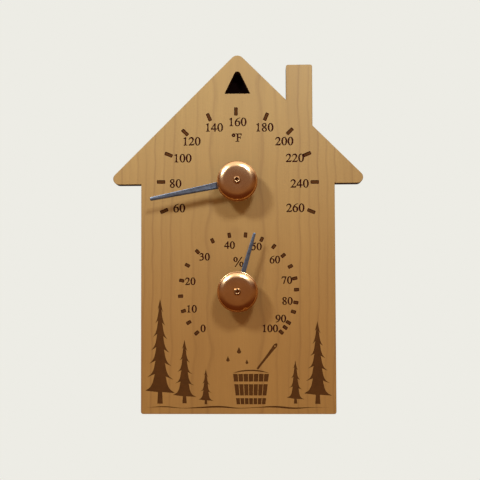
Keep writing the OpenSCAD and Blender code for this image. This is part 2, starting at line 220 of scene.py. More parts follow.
class StageSettings(bpy.types.PropertyGroup):
    """Camera, lamps, room and floor."""
    distance: length("Camera distance", "Distance of the camera in front of the wall", 460.0)
    camera_side: length("Camera side", "How far the camera stands to the right of the middle", 12.7)
    camera_height: length("Camera height", "Height of the camera in the frame", -146.4)
    tilt: turn("Camera tilt", "How far the camera looks up", 2.0)
    roll: turn("Camera roll", "How far the camera is held askew", 0.2)
    swing: turn("Camera swing", "How far the camera looks to the left", 1.447)
    lens: FloatProperty(name="Lens", description="Focal length on a 36 mm sensor", default=53.72)
    shift: FloatProperty(name="Shift", description="Upward shift of the view, as a share of its width",
                         default=0.08)
    left_side: length("Left lamp's side", "Distance of the left lamp to the left", 430.0)
    right_side: length("Right lamp's side", "Distance of the right lamp to the right", 190.0)
    lamp_front: length("Lamp front", "Distance of the lamps in front of the wall", 560.0)
    lamp_height: length("Lamp height", "Height of the lamps in the frame", 375.0)
    lamp_size: length("Lamp size", "Width of each lamp's square face", 130.0)
    left_power: FloatProperty(name="Left lamp", description="Power of the left lamp", default=4.86, unit="POWER")
    right_power: FloatProperty(name="Right lamp", description="Power of the right lamp", default=3.45,
                               unit="POWER")
    lamp_light: colour("Lamp light", "Cool white of both lamps, which evens out the warm room", "DDF2FF")
    soft: FloatProperty(name="Soft light", description="Even light from all round", default=0.42)
    soft_light: colour("Soft light's colour", "Warm light that comes back from the room", "F0BE90")
    floor_drop: length("Floor drop", "Distance of the floor below the origin", 600.0)
    floor_radius: length("Floor radius", "Radius of the round floor", 6000.0)
    backdrop: colour("Backdrop", "Pale ground behind the object", "EDECE5")
    room: colour("Room", "Dim wooden room that metal mirrors from the viewer's side", "5C3012")
    horizon: colour("Horizon", "Lighter wall of that room at the viewer's height", "856038")
    ceiling: FloatProperty(name="Ceiling", description="Brightness of the pale ceiling that metal mirrors",
                           default=1.5)
    # Painted shade: a black card behind the hanging hole darkens it as a dark wall and the shade inside the hole
    # would
    card_dark: colour("Card", "Black card behind the hanging hole", "0C0504")
    card_light: colour("Card, lighter", "Lighter specks of that card's felt", "170A09")


class SaunaSettings(bpy.types.PropertyGroup):
    """All settings of the object."""
    board: PointerProperty(type=BoardSettings)
    dials: PointerProperty(type=DialSettings)
    movement: PointerProperty(type=MovementSettings)
    stage: PointerProperty(type=StageSettings)


def settings():
    """The file's settings, by group."""
    return bpy.context.scene.sauna_thermometer


def standing(height=0.0, depth=BOARD_T):
    """Matrix from the flat drawing in millimetres to the frame: its point (0, 0, 0) comes to a height
    and to a depth in front of the board's back."""
    return (Matrix.Scale(MM, 4) @ Matrix.Translation((0, -depth, height))
            @ Matrix.Rotation(math.radians(90), 4, "X"))


def into_mesh(bm, name, matrix=None):
    """Makes a mesh of a bmesh, moved by a matrix, and frees the bmesh."""
    if matrix:
        bmesh.ops.transform(bm, matrix=matrix, verts=bm.verts)
    mesh = bpy.data.meshes.new(name)
    bm.to_mesh(mesh)
    bm.free()
    return mesh


def show(mesh, name, materials=()):
    """Links an object for a mesh, at the origin and unturned."""
    shown = bpy.data.objects.new(name, mesh)
    bpy.context.scene.collection.objects.link(shown)
    for material in materials:
        mesh.materials.append(material)
    return shown


def baked(shown):
    """Mesh of an object with its modifiers applied. The object itself is removed."""
    bpy.context.view_layer.update()
    depsgraph = bpy.context.evaluated_depsgraph_get()
    mesh = bpy.data.meshes.new_from_object(shown.evaluated_get(depsgraph))
    bpy.data.objects.remove(shown)
    return mesh


def arc(centre, radius, first, last, steps):
    """Points on an arc between two angles in degrees, both ends included."""
    for step in range(steps + 1):
        angle = math.radians(first + (last - first) * step / steps)
        yield Vector((centre[0] + radius * math.cos(angle), centre[1] + radius * math.sin(angle), 0))


def rounded_loop(bm, corners, steps=10):
    """Closed loop of edges through corners (x, y, radius). Each rounded corner is spun about its centre."""
    count = len(corners)
    spots = [Vector((x, y, 0)) for x, y, radius in corners]
    ends = []
    for index, (x, y, radius) in enumerate(corners):
        spot = spots[index]
        if not radius:
            vert = bm.verts.new(spot)
            ends.append((vert, vert))
            continue
        back = (spots[index - 1] - spot).normalized()
        ahead = (spots[(index + 1) % count] - spot).normalized()
        half = back.angle(ahead) / 2
        centre = spot + (back + ahead).normalized() * radius / math.sin(half)
        side = math.copysign(1, ahead.cross(back).z)
        start = bm.verts.new(spot + back * radius / math.tan(half))
        spun = bmesh.ops.spin(bm, geom=[start], cent=centre, axis=(0, 0, side), angle=math.pi - 2 * half,
                              steps=steps, use_duplicate=False)
        ends.append((start, next(item for item in spun["geom_last"] if isinstance(item, bmesh.types.BMVert))))
    for index in range(count):
        bm.edges.new((ends[index][1], ends[(index + 1) % count][0]))


def slab(corners, low, high):
    """Bmesh of a flat solid with that outline, between two heights."""
    bm = bmesh.new()
    rounded_loop(bm, corners)
    face = bmesh.ops.contextual_create(bm, geom=bm.edges)["faces"][0]
    if face.normal.z > 0:
        face.normal_flip()
    bmesh.ops.translate(bm, vec=(0, 0, low), verts=bm.verts)
    raised = bmesh.ops.extrude_face_region(bm, geom=[face], use_keep_orig=True)
    top = [item for item in raised["geom"] if isinstance(item, bmesh.types.BMVert)]
    bmesh.ops.translate(bm, vec=(0, 0, high - low), verts=top)
    bmesh.ops.recalc_face_normals(bm, faces=bm.faces)
    return bm


def drum(bm, place, radius, low, high, segments=72):
    """Adds a closed cylinder standing on the face at a place (x, y)."""
    bmesh.ops.create_cone(bm, cap_ends=True, segments=segments, radius1=radius, radius2=radius,
                          depth=high - low, matrix=Matrix.Translation((*place, (low + high) / 2)))


def flat_curve(name):
    """A flat filled curve, for outlines drawn on the face."""
    curve = bpy.data.curves.new(name, "CURVE")
    curve.dimensions = "2D"
    curve.fill_mode = "BOTH"
    curve.resolution_u = 6
    return curve


def outline(curve, points, place=(0, 0), size=1.0, angle=0.0):
    """Adds a closed outline. A point (x, y) is a corner, and a third item makes it smooth."""
    spline = curve.splines.new("BEZIER")
    spline.bezier_points.add(len(points) - 1)
    spline.use_cyclic_u = True
    matrix = Matrix.Translation((*place, 0)) @ Matrix.Rotation(angle, 4, "Z") @ Matrix.Scale(size, 4)
    for knot, (x, y, *smooth) in zip(spline.bezier_points, points):
        knot.co = matrix @ Vector((x, y, 0))
        knot.handle_left_type = knot.handle_right_type = "AUTO" if smooth else "VECTOR"


def solid_curve(curve, low, high, swell=0.0):
    """Bmesh of a flat curve given a thickness between two heights and swollen past its outline."""
    curve.extrude = (high - low) / 2
    curve.offset = swell
    mesh = baked(show(curve, curve.name))
    bm = bmesh.new()
    bm.from_mesh(mesh)
    bpy.data.meshes.remove(mesh)
    bmesh.ops.translate(bm, vec=(0, 0, (low + high) / 2), verts=bm.verts)
    bmesh.ops.remove_doubles(bm, verts=bm.verts, dist=0.001)
    bmesh.ops.recalc_face_normals(bm, faces=bm.faces)
    return bm


def oval(x, y, across, up, count=12):
    """Smooth closed outline of an oval, from its middle and its two radii."""
    return [(x + across * math.cos(step * math.tau / count), y + up * math.sin(step * math.tau / count), 1)
            for step in range(count)]


# Serif figures in thousandths of their type size: the width of each and its outlines
FIGURE_TYPE = 676
SIX = (
    [(446, 684), (250, 610, 1), (100, 460, 1), (34, 275, 1), (50, 130, 1), (120, 25, 1), (250, -14, 1),
     (400, 50, 1), (468, 216, 1), (415, 375, 1), (285, 428, 1), (195, 404), (168, 424), (205, 505, 1),
     (310, 610, 1), (448, 668)],
    [(240, 388, 1), (335, 340, 1), (374, 205, 1), (350, 70, 1), (260, 14, 1), (160, 75, 1), (127, 230, 1),
     (140, 345, 1)],
)
FIGURES = {
    "0": (500, [oval(250, 331, 226, 345), oval(250, 331, 124, 318)]),
    "1": (500, [[(118, 0), (394, 0), (394, 16), (325, 28, 1), (299, 80, 1), (299, 676), (288, 676), (111, 588),
                 (111, 572), (165, 588, 1), (202, 560, 1), (202, 80, 1), (180, 28, 1), (118, 16)]]),
    "2": (500, [[(30, 0), (425, 0), (475, 137), (462, 142), (430, 95, 1), (365, 76), (130, 76), (300, 260, 1),
                 (390, 390, 1), (424, 505, 1), (370, 630, 1), (238, 676, 1), (110, 625, 1), (31, 480),
                 (51, 472), (110, 560, 1), (200, 602, 1), (300, 560, 1), (336, 460, 1), (310, 350, 1),
                 (220, 215, 1), (30, 12)]]),
    "3": (500, [[(45, 510), (110, 625, 1), (225, 676, 1), (350, 640, 1), (396, 550, 1), (365, 460, 1),
                 (320, 424), (320, 388), (390, 345, 1), (431, 230, 1), (385, 85, 1), (260, 5, 1), (135, -14, 1),
                 (60, 0, 1), (41, 32, 1), (75, 68, 1), (130, 50, 1), (195, 30, 1), (300, 80, 1),
                 (343, 190, 1), (300, 300, 1), (230, 335, 1), (153, 342), (153, 355), (240, 385, 1),
                 (300, 440, 1), (312, 510, 1), (270, 590, 1), (190, 612, 1), (115, 580, 1), (63, 500)]]),
    "4": (500, [[(12, 167), (292, 167), (292, 0), (370, 0), (370, 167), (472, 167), (472, 231), (370, 231),
                 (370, 676), (326, 676), (12, 231)], [(292, 573), (292, 231), (52, 231)]]),
    "5": (500, [[(438, 690), (400, 590), (182, 590), (150, 515), (290, 485, 1), (390, 400, 1), (425, 255, 1),
                 (380, 100, 1), (270, 5, 1), (130, -14, 1), (55, 5, 1), (32, 38, 1), (70, 72, 1),
                 (130, 55, 1), (205, 28, 1), (310, 100, 1), (343, 225, 1), (300, 345, 1), (190, 415, 1),
                 (70, 425), (172, 662), (375, 662), (425, 698)]]),
    "6": (500, SIX),
    "7": (500, [[(20, 492), (79, 662), (449, 662), (449, 645), (237, -8), (172, -8), (372, 588), (150, 588, 1),
                 (85, 565, 1), (38, 484)]]),
    "8": (500, [[(250, 676, 1), (375, 640, 1), (418, 535, 1), (390, 440, 1), (300, 365, 1), (400, 270, 1),
                 (445, 155, 1), (395, 35, 1), (245, -14, 1), (105, 30, 1), (56, 140, 1), (90, 245, 1),
                 (190, 320, 1), (95, 425, 1), (62, 520, 1), (110, 635, 1)],
                [(250, 648, 1), (325, 610, 1), (342, 535, 1), (320, 455, 1), (270, 395, 1), (165, 470, 1),
                 (140, 545, 1), (170, 620, 1)],
                [(228, 300, 1), (320, 220, 1), (362, 130, 1), (335, 45, 1), (250, 14, 1), (165, 50, 1),
                 (136, 145, 1), (165, 235, 1)]]),
    # A nine is a six turned by half a turn
    "9": (500, [[(500 - x, 662 - y, *smooth) for x, y, *smooth in part] for part in SIX]),
    "F": (556, [[(12, 0), (292, 0), (292, 19), (240, 28, 1), (214, 70, 1), (214, 322), (320, 322), (368, 305, 1),
                 (388, 250), (408, 250), (408, 432), (388, 432), (370, 378, 1), (320, 362), (214, 362),
                 (214, 624), (375, 624), (435, 600, 1), (462, 519), (486, 519), (483, 662), (12, 662),
                 (12, 643), (90, 630, 1), (112, 590, 1), (112, 70, 1), (90, 30, 1), (12, 19)]]),
    "degree": (300, [oval(150, 540, 135, 135), oval(150, 540, 50, 50)]),
    "%": (833, [[(160, -14), (205, -14), (672, 676), (627, 676)], oval(203, 507, 142, 169),
                oval(203, 507, 72, 145), oval(630, 155, 142, 169), oval(630, 155, 72, 145)]),
}


def write(curve, signs, place, height, spacing):
    """Writes signs centred on a place, at a height of the figures."""
    size = height / FIGURE_TYPE
    x = place[0] - (sum(FIGURES[sign][0] for sign in signs) * size + (len(signs) - 1) * spacing) / 2
    for sign in signs:
        width, parts = FIGURES[sign]
        for part in parts:
            outline(curve, part, (x, place[1] - height / 2), size)
        x += width * size + spacing


def bar(curve, place, long, wide, angle):
    """One mark of a scale: a bar with slightly rounded corners."""
    x, y, nick = long / 2, wide / 2, wide / 8
    corner = [(x - nick, -y), (x, nick - y), (x, y - nick), (x - nick, y)]
    outline(curve, corner + [(-a, -b) for a, b in corner], place, 1, angle)


def on_dial(centre, radius, angle):
    """Place on a dial at an angle clockwise from the left."""
    return (centre[0] - radius * math.cos(angle), centre[1] + radius * math.sin(angle))


# Temperature scale: the value, the angle of its mark clockwise from the left in degrees, and the middle of its
# figure in millimetres from the scale's middle
TEMPERATURES = [
    (60, -17.1, -37.3, -12.6), (80, 4.9, -39.7, 3.2), (100, 26.2, -35.2, 19.4), (120, 46.9, -29.4, 30.2),
    (140, 68.2, -15.0, 39.0), (160, 88.9, 0.0, 42.4), (180, 111.8, 17.2, 38.8), (200, 132.8, 29.8, 29.8),
    (220, 154.3, 36.5, 19.0), (240, 176.0, 39.4, 2.6), (260, 198.0, 36.6, -12.9),
]
UNIT_PLACE = (-0.3, 32.3)
# Angle of every fifth percent's mark, clockwise from the left in degrees, as the strip winds with moisture
HUMIDITIES = [-43.9, -30.9, -18.4, -3.4, 12.1, 28.2, 45.1, 63.5, 81.1, 97.2, 113.8, 127.7, 140.6, 153.5, 166.1,
              177.4, 190.1, 199.5, 211.2, 217.0, 223.0]
# Middle of every tenth percent's figure, in millimetres from the pivot
PERCENTS = [(-22.2, -22.9), (-29.5, -10.5), (-30.3, 7.0), (-21.2, 22.5), (-5.2, 29.9), (11.8, 28.9), (23.4, 20.5),
            (31.0, 7.5), (31.2, -5.7), (27.0, -16.8), (20.1, -23.0)]
PERCENT_PLACE = (0.4, 19.2)


def beside(centre, place):
    """A place given from a scale's middle, on the face."""
    return (centre[0] + place[0], centre[1] + place[1])


def temperature_scale(marks, figures, dials, pivot):
    """Marks from 60 to 260 degrees and their figures. Each mark is turned a sixteenth of a turn further than
    the one before, and the second lies level."""
    centre = (0, pivot - mm(dials.upper_drop))
    for index, (value, degrees, x, y) in enumerate(TEMPERATURES):
        place = on_dial(centre, mm(dials.upper_radius), math.radians(degrees))
        bar(marks, place, mm(dials.upper_mark), mm(dials.upper_mark_width), -(index - 1) * math.tau / 16)
        write(figures, str(value), beside(centre, (x, y)), mm(dials.upper_figure), mm(dials.spacing))
    write(figures, ["degree", "F"], beside(centre, UNIT_PLACE), mm(dials.upper_figure), mm(dials.spacing))


def humidity_scale(marks, figures, dials, pivot):
    """Marks every five percent and figures every ten."""
    centre = (mm(dials.lower_shift), pivot - mm(dials.lower_drop))
    for degrees in HUMIDITIES:
        angle = math.radians(degrees)
        bar(marks, on_dial(centre, mm(dials.lower_radius), angle), mm(dials.lower_mark),
            mm(dials.lower_mark_width), -angle)
    for index, place in enumerate(PERCENTS):
        write(figures, str(index * 10), beside((0, pivot), place), mm(dials.lower_figure), mm(dials.spacing))
    write(figures, "%", beside((0, pivot), PERCENT_PLACE), mm(dials.percent_figure), spacing=0)


def fir(curve, x, foot, height, spread, tiers):
    """A fir in one silhouette: boughs that hang wider from tier to tier, over a short trunk."""
    trunk_w, trunk_h = spread * 0.14, height * 0.1
    sides = []
    for side in (1, -1):
        edge = []
        for tier in range(1, tiers + 1):
            share = (tier - 0.18 * (side < 0)) / tiers
            low = foot + trunk_h + (height - trunk_h) * (1 - share)
            reach = spread * share ** 0.85
            edge.append((x + side * reach * 0.62, low + height * 0.045, 1))
            edge.append((x + side * reach, low))
            if tier < tiers:
                edge.append((x + side * reach * 0.42, low + height * 0.03))
        edge.append((x + side * trunk_w, foot + trunk_h * 1.1))
        edge.append((x + side * trunk_w * 1.3, foot))
        sides.append(edge)
    outline(curve, [(x, foot + height)] + sides[0] + sides[1][::-1])


def pail(curve, x, foot, height, top_w, foot_w, staves):
    """A stave pail: every stave is cut in three by two hoops left bare."""
    gap = 0.45
    bands = [(0.0, 0.2), (0.29, 0.66), (0.75, 1.0)]
    for stave in range(staves):
        for low, high in bands:
            corners = []
            for share, up in ((0, low), (1, low), (1, high), (0, high)):
                width = foot_w + (top_w - foot_w) * up
                along = (stave + share) / staves - 0.5
                corners.append((x + along * width + (gap / 2 if share == 0 else -gap / 2), foot + height * up))
            outline(curve, corners)
    # Rim seen from a little above, as a thin open bow
    rim_h = foot + height + 0.5
    half = top_w / 2
    outline(curve, [(x - half, rim_h), (x - half * 0.6, rim_h + 1.5, 1), (x, rim_h + 2.1, 1),
                    (x + half * 0.6, rim_h + 1.5, 1), (x + half, rim_h), (x + half * 0.6, rim_h + 0.8, 1),
                    (x, rim_h + 1.3, 1), (x - half * 0.6, rim_h + 0.8, 1)])


def ladle(curve, x, low, reach, angle):
    """A ladle's handle standing out of the pail, with a bored end."""
    edge = [(0, 0.6), (reach * 0.5, 0.75, 1), (reach - 3, 1.0, 1), (reach, 1.1, 1)]
    below = [(along, -across, *smooth) for along, across, *smooth in edge]
    outline(curve, below + [(reach + 1.3, 0, 1)] + edge[::-1], (x, low), 1, angle)
    tip = Vector((math.cos(angle), math.sin(angle))) * (reach - 0.8)
    outline(curve, oval(0, 0, 0.45, 0.45, 8), (x + tip.x, low + tip.y))


def drop(curve, x, y, height):
    """A falling drop of water."""
    outline(curve, [(0, 1), (0.22, 0.5, 1), (0.32, 0.22, 1), (0, 0, 1), (-0.32, 0.22, 1), (-0.22, 0.5, 1)],
            (x, y), height)


def ground(curve, half_width, y, thickness):
    """A thin line of ground that swells and thins from one wall to the other."""
    steps = 10
    upper, lower = [], []
    for step in range(1, steps):
        x = -half_width + 2 * half_width * step / steps
        rise = 0.5 * math.sin(step * 2.1)
        half = thickness * (0.6 + 0.4 * math.cos(step * 1.7)) / 2
        upper.append((x, y + rise + half, 1))
        lower.append((x, y + rise - half, 1))
    outline(curve, [(-half_width, y)] + upper + [(half_width, y)] + lower[::-1])


def picture(curve):
    """A forest edge with a pail, along the foot of the house. Heights are above the bottom edge."""
    ground(curve, 58, BOTTOM + 4.2, 1.1)
    # Firs from the walls inwards, tallest at the walls
    for x, foot, height, spread, tiers in (
            (-49.5, 6.6, 66, 9.5, 7), (-34.0, 6.8, 40, 7.5, 5), (-20.5, 6.2, 22, 4.8, 4),
            (50.0, 6.4, 52, 8.8, 6), (36.0, 6.6, 27, 5.6, 4)):
        fir(curve, x, BOTTOM + foot, height, spread, tiers)
    pail(curve, 8.0, BOTTOM + 6.2, 19, 23, 18.5, 7)
    ladle(curve, 12.0, BOTTOM + 28.3, 19, math.radians(52))
    for x, y, size in ((-6.5, 33, 3.4), (0.5, 38, 4.2), (5.5, 31.5, 2.8)):
        drop(curve, x, BOTTOM + y, size)


def house_corners(board):
    """Corners of the house (x, y, radius), counter-clockwise from the bottom left."""
    wall, top = mm(board.wall_width) / 2, BOTTOM + mm(board.wall_height)
    slope = math.tan(board.roof_pitch)
    ridge = mm(board.ridge_radius)
    peak = BOTTOM + HOUSE_H + ridge * (1 / math.cos(board.roof_pitch) - 1)
    eave = (peak - top) / slope
    inner = mm(board.chimney_place - board.chimney_width / 2)
    outer = mm(board.chimney_place + board.chimney_width / 2)
    chimney_top = BOTTOM + HOUSE_H - mm(board.chimney_drop)
    soft, foot, tip = mm(board.chimney_radius), mm(board.foot_radius), mm(board.eave_radius)
    return [
        (-wall, BOTTOM, foot), (wall, BOTTOM, foot), (wall, top, 0), (eave, top, tip),
        (outer, peak - outer * slope, 0), (outer, chimney_top, soft), (inner, chimney_top, soft),
        (inner, peak - inner * slope, 0), (0, peak, ridge), (-eave, top, tip), (-wall, top, 0),
    ]


def hole_corners(board):
    """Corners of the hanging hole. The frame's origin is the middle of its rounded apex."""
    radius, half = mm(board.hole_radius), mm(board.hole_width) / 2
    point = radius / math.sin(board.hole_half_angle)
    base = point - half / math.tan(board.hole_half_angle)
    return [(-half, base, 0), (half, base, 0), (0, point, radius)]


def cut(target, cutter, name):
    """Cuts a mesh by a bmesh, whose parts may overlap, and returns the new mesh."""
    open_edges = [edge for edge in cutter.edges if not edge.is_manifold]
    if open_edges:
        raise RuntimeError(f"{name}: open near {open_edges[0].verts[0].co}")
    tool = show(into_mesh(cutter, name), name)
    whole = show(target, target.name)
    modifier = whole.modifiers.new(name, "BOOLEAN")
    modifier.operation = "DIFFERENCE"
    modifier.solver = "EXACT"
    modifier.use_self = True
    modifier.object = tool
    done = baked(whole)
    bpy.data.objects.remove(tool)
    return done


# Slots of the board's own faces
WOOD, BURNT, ENGRAVED, PALE, BORED = range(5)


def sort_board_faces(bm, board, dials):
    """Gives every face of the cut board its material, from where it lies and how deep it is. Marks get a paler
    middle."""
    depth = mm(board.engraving_depth)
    recess = mm(board.recess_width) / 2
    # How far a face may lie from the depth, and from the recess or the surface, that it is sorted by
    slack, rim = 0.01, 0.1
    marks = []
    for face in bm.faces:
        middle = face.calc_center_median()
        spot = Vector((middle.x, middle.y))
        heights = [vert.co.z for vert in face.verts]
        shallow = min(heights) > -depth - slack
        bored = any((spot - Vector((0, pivot))).length < recess + rim for pivot in PIVOTS.values())
        if face.normal.z > 0.9 and shallow and max(heights) < -mm(board.picture_depth) + slack:
            face.material_index = ENGRAVED
            if min(heights) > -mm(board.picture_depth) - slack:
                face.material_index = PALE
            elif min(heights) > -mm(board.mark_depth) - slack:
                marks.append(face)
        elif abs(face.normal.z) < 0.5:
            face.material_index = ENGRAVED if shallow else BURNT
            if bored and max(heights) < -depth:
                face.material_index = BORED
        elif bored and -BOARD_T + rim < middle.z < -rim:
            face.material_index = BORED
        else:
            face.material_index = WOOD
    bmesh.ops.inset_region(bm, faces=marks, thickness=mm(dials.lower_mark_width) / 4, use_boundary=True,
                           use_even_offset=True)
    for face in marks:
        face.material_index = PALE


def house_board(board, dials):
    """The board: cut outline, hanging hole, rivet holes with their recesses, and the engraved face."""
    bm = slab(house_corners(board), -BOARD_T, 0)
    rounding = mm(board.edge_rounding)
    rims = [edge for edge in bm.edges if abs(edge.verts[0].co.z - edge.verts[1].co.z) < rounding / 10]
    bmesh.ops.bevel(bm, geom=rims, offset=rounding, offset_type="OFFSET", affect="EDGES", segments=2,
                    profile=0.5, material=-1)
    mesh = into_mesh(bm, "board_blank")
    holes = slab(hole_corners(board), -BOARD_T - PAST, PAST)
    recesses = bmesh.new()
    for pivot in PIVOTS.values():
        drum(holes, (0, pivot), mm(board.rivet_hole) / 2, -BOARD_T - PAST, PAST, segments=48)
        drum(recesses, (0, pivot), mm(board.recess_width) / 2, -BOARD_T - PAST, -BOARD_T + mm(board.recess_depth))
    mesh = cut(cut(mesh, holes, "holes"), recesses, "recesses")
    # Figures may touch marks, so each kind is a solid of its own
    marks, figures, drawing = (flat_curve(name) for name in ("marks", "figures", "picture"))
    temperature_scale(marks, figures, dials, PIVOTS["temperature_hand"])
    humidity_scale(marks, figures, dials, PIVOTS["humidity_hand"])
    picture(drawing)
    engraving = bmesh.new()
    for curve, depth, swell in ((marks, board.mark_depth, dials.swell),
                                (figures, board.engraving_depth, dials.swell),
                                (drawing, board.picture_depth, 0)):
        engraving.from_mesh(into_mesh(solid_curve(curve, -mm(depth), PAST, mm(swell)), curve.name))
    mesh = cut(mesh, engraving, "engraving")
    bm = bmesh.new()
    bm.from_mesh(mesh)
    sort_board_faces(bm, board, dials)
    bmesh.ops.triangulate(bm, faces=bm.faces, quad_method="BEAUTY", ngon_method="BEAUTY")
    return into_mesh(bm, "house_board_engraved", standing())


def add(tree, kind, inputs=(), stops=(), **options):
    """Adds one shader node. Inputs are set, or linked where the value is a socket or a node, whose first live
    output is then taken; stops are a ramp's."""
    node = tree.nodes.new("ShaderNode" + kind)
    for name, value in options.items():
        setattr(node, name, value)
    for key, value in dict(inputs).items():
        if isinstance(value, bpy.types.Node):
            value = next(socket for socket in value.outputs if socket.enabled)
        if isinstance(value, bpy.types.NodeSocket):
            tree.links.new(value, node.inputs[key])
        else:
            node.inputs[key].default_value = value
    for index, (position, stop) in enumerate(stops):
        elements = node.color_ramp.elements
        element = elements[index] if index < 2 else elements.new(position)
        element.position = position
        element.color = stop
    return node


# Strength of a growth ring's line, as the greys of a ramp
GREYS = {share: (share, share, share, 1) for share in (0.0, 0.15, 1.0)}


def start_material(name):
    """A new material with an empty tree."""
    made = bpy.data.materials.new(name)
    made.use_nodes = True
    made.node_tree.nodes.clear()
    return made, made.node_tree


def close_material(tree, shader):
    """Links the last shader to the output."""
    add(tree, "OutputMaterial", {"Surface": shader})


def close_surface(tree, inputs, pattern, strength, depth):
    """Ends a material with a surface, whose relief follows a pattern to a depth in millimetres."""
    relief = add(tree, "Bump", {"Height": pattern, "Strength": strength, "Distance": depth * MM})
    close_material(tree, add(tree, "BsdfPrincipled", {**inputs, "Normal": relief}))


def grain(tree, cell, turned=(0, 0, 0)):
    """Object coordinates divided by a cell's size in millimetres along each axis."""
    place = add(tree, "TexCoord")
    return add(tree, "Mapping", {"Vector": place.outputs["Object"], "Rotation": turned,
                                 "Scale": [1 / (side * MM) for side in cell]})


def maple(board):
    """Flat-sawn maple under a satin oil: pale, with thin soft ring lines that stand wide apart in the middle,
    low-contrast bands, fine fibres and tiny flecks, and painted light and shade that make it darker
    towards the bottom."""
    made, tree = start_material("maple_oiled")
    # The tree leans a little, and its middle lies 36 mm behind the board, so its rings are cut flat in the
    # middle and steeply at the sides. They wander by 5.5 mm.
    lean, pith, stray = (math.radians(0.2), math.radians(-0.4), 0), (-1.0, 36.0, 0.0), 5.5
    log = grain(tree, (1, 1, 1), lean)
    centred = add(tree, "VectorMath", {0: log, 1: pith}, operation="SUBTRACT")
    across = add(tree, "VectorMath", {0: centred, 1: (1, 1, 0)}, operation="MULTIPLY")
    distance = add(tree, "VectorMath", {0: across}, operation="LENGTH")
    slow = add(tree, "TexNoise", {"Vector": grain(tree, (110, 110, 42)), "Scale": 1.0, "Detail": 2.0})
    wander = add(tree, "Math", {0: slow, 1: stray, 2: distance}, operation="MULTIPLY_ADD")
    count = add(tree, "Math", {0: wander, 1: mm(board.ring_width)}, operation="DIVIDE")
    phase = add(tree, "Math", {0: count}, operation="FRACT")
    year = add(tree, "Math", {0: count}, operation="FLOOR")
    ring = add(tree, "ValToRGB", {0: phase},
               stops=((0.0, GREYS[0.15]), (1.0, GREYS[0.15]), (0.1, GREYS[0.0]), (0.72, GREYS[0.15]),
                      (0.9, GREYS[1.0])))
    # Each year's line has its own strength, and fades and returns along the grain
    weather = add(tree, "TexWhiteNoise", {"W": year}, noise_dimensions="1D")
    fading = add(tree, "TexNoise", {"Vector": grain(tree, (9, 9, 60)), "Scale": 1.0, "Detail": 2.0})
    strength = add(tree, "Math", {0: weather, 1: fading}, operation="ADD")
    ring_share = add(tree, "MapRange", {"Value": strength, "From Min": 0.4, "From Max": 1.5,
                                        "To Min": 0.08, "To Max": 0.34})
    ring_mix = add(tree, "Math", {0: ring, 1: ring_share}, operation="MULTIPLY")
    fibre = add(tree, "TexNoise", {"Vector": grain(tree, (0.5, 0.5, 18)), "Scale": 1.0,
                                   "Detail": 4.0, "Roughness": 0.6})
    fleck = add(tree, "TexNoise", {"Vector": grain(tree, (0.35, 0.35, 2.4)), "Scale": 1.0, "Detail": 1.0})
    flecks = add(tree, "MapRange", {"Value": fleck, "From Min": 0.66, "From Max": 0.76, "To Max": 0.18})
    bands = add(tree, "TexNoise", {"Vector": grain(tree, (12, 12, 150)), "Scale": 1.0, "Detail": 3.0})
    # Painted light and shade: the wood runs from the darker tone at the bottom to the lighter one at the top, as
    # the lamps above light the board unevenly
    height = add(tree, "SeparateXYZ", {0: add(tree, "TexCoord").outputs["Object"]})
    rise = add(tree, "MapRange", {"Value": height.outputs["Z"], "From Min": -190 * MM, "From Max": 0},
               interpolation_type="SMOOTHSTEP")
    lit_and_shaded_wood = add(tree, "Mix", {"Factor": rise, "A": board.wood_low, "B": board.wood_high}, data_type="RGBA")
    ringed = add(tree, "Mix", {"Factor": ring_mix, "A": lit_and_shaded_wood, "B": board.ring}, data_type="RGBA")
    band_share = add(tree, "MapRange", {"Value": bands, "From Min": 0.35, "From Max": 0.75, "To Max": 0.16})
    banded = add(tree, "Mix", {"Factor": band_share, "A": ringed, "B": board.ring}, data_type="RGBA")
    fibre_share = add(tree, "MapRange", {"Value": fibre, "From Min": 0.3, "From Max": 0.7,
                                         "To Min": 0.955, "To Max": 1.035})
    fibred = add(tree, "VectorMath", {0: banded, 1: fibre_share}, operation="MULTIPLY")
    flecked = add(tree, "Mix", {"Factor": flecks, "A": fibred, "B": board.ring}, data_type="RGBA")
    roughness = add(tree, "MapRange", {"Value": fibre, "To Min": 0.42, "To Max": 0.6})
    close_surface(tree, {"Base Color": flecked, "Roughness": roughness}, fibre, 0.2, 0.03)
    return made


def scorched(name, tint, soot_share, cell, roughness, relief_depth):
    """Wood that a laser has burnt: brown to black, dull, with soot and the stripes that its beam leaves."""
    made, tree = start_material(name)
    stripes = add(tree, "TexNoise", {"Vector": grain(tree, cell), "Scale": 1.0, "Detail": 3.0})
    soot = add(tree, "TexNoise", {"Vector": grain(tree, (4, 4, 4)), "Scale": 1.0, "Detail": 2.0})
    both = add(tree, "Math", {0: stripes, 1: soot}, operation="ADD")
    share = add(tree, "MapRange", {"Value": both, "From Min": 0.75, "From Max": 1.25})
    burn = add(tree, "Mix", {"Factor": share, "A": shade(tint, soot_share), "B": tint}, data_type="RGBA")
    close_surface(tree, {"Base Color": burn, "Roughness": roughness,
                         "Specular IOR Level": 0.1}, stripes, 0.5, relief_depth)
    return made


def shade(tint, factor):
    """A colour made darker or lighter by a factor."""
    return tuple(min(1.0, channel * factor) for channel in tint[:3]) + (1.0,)


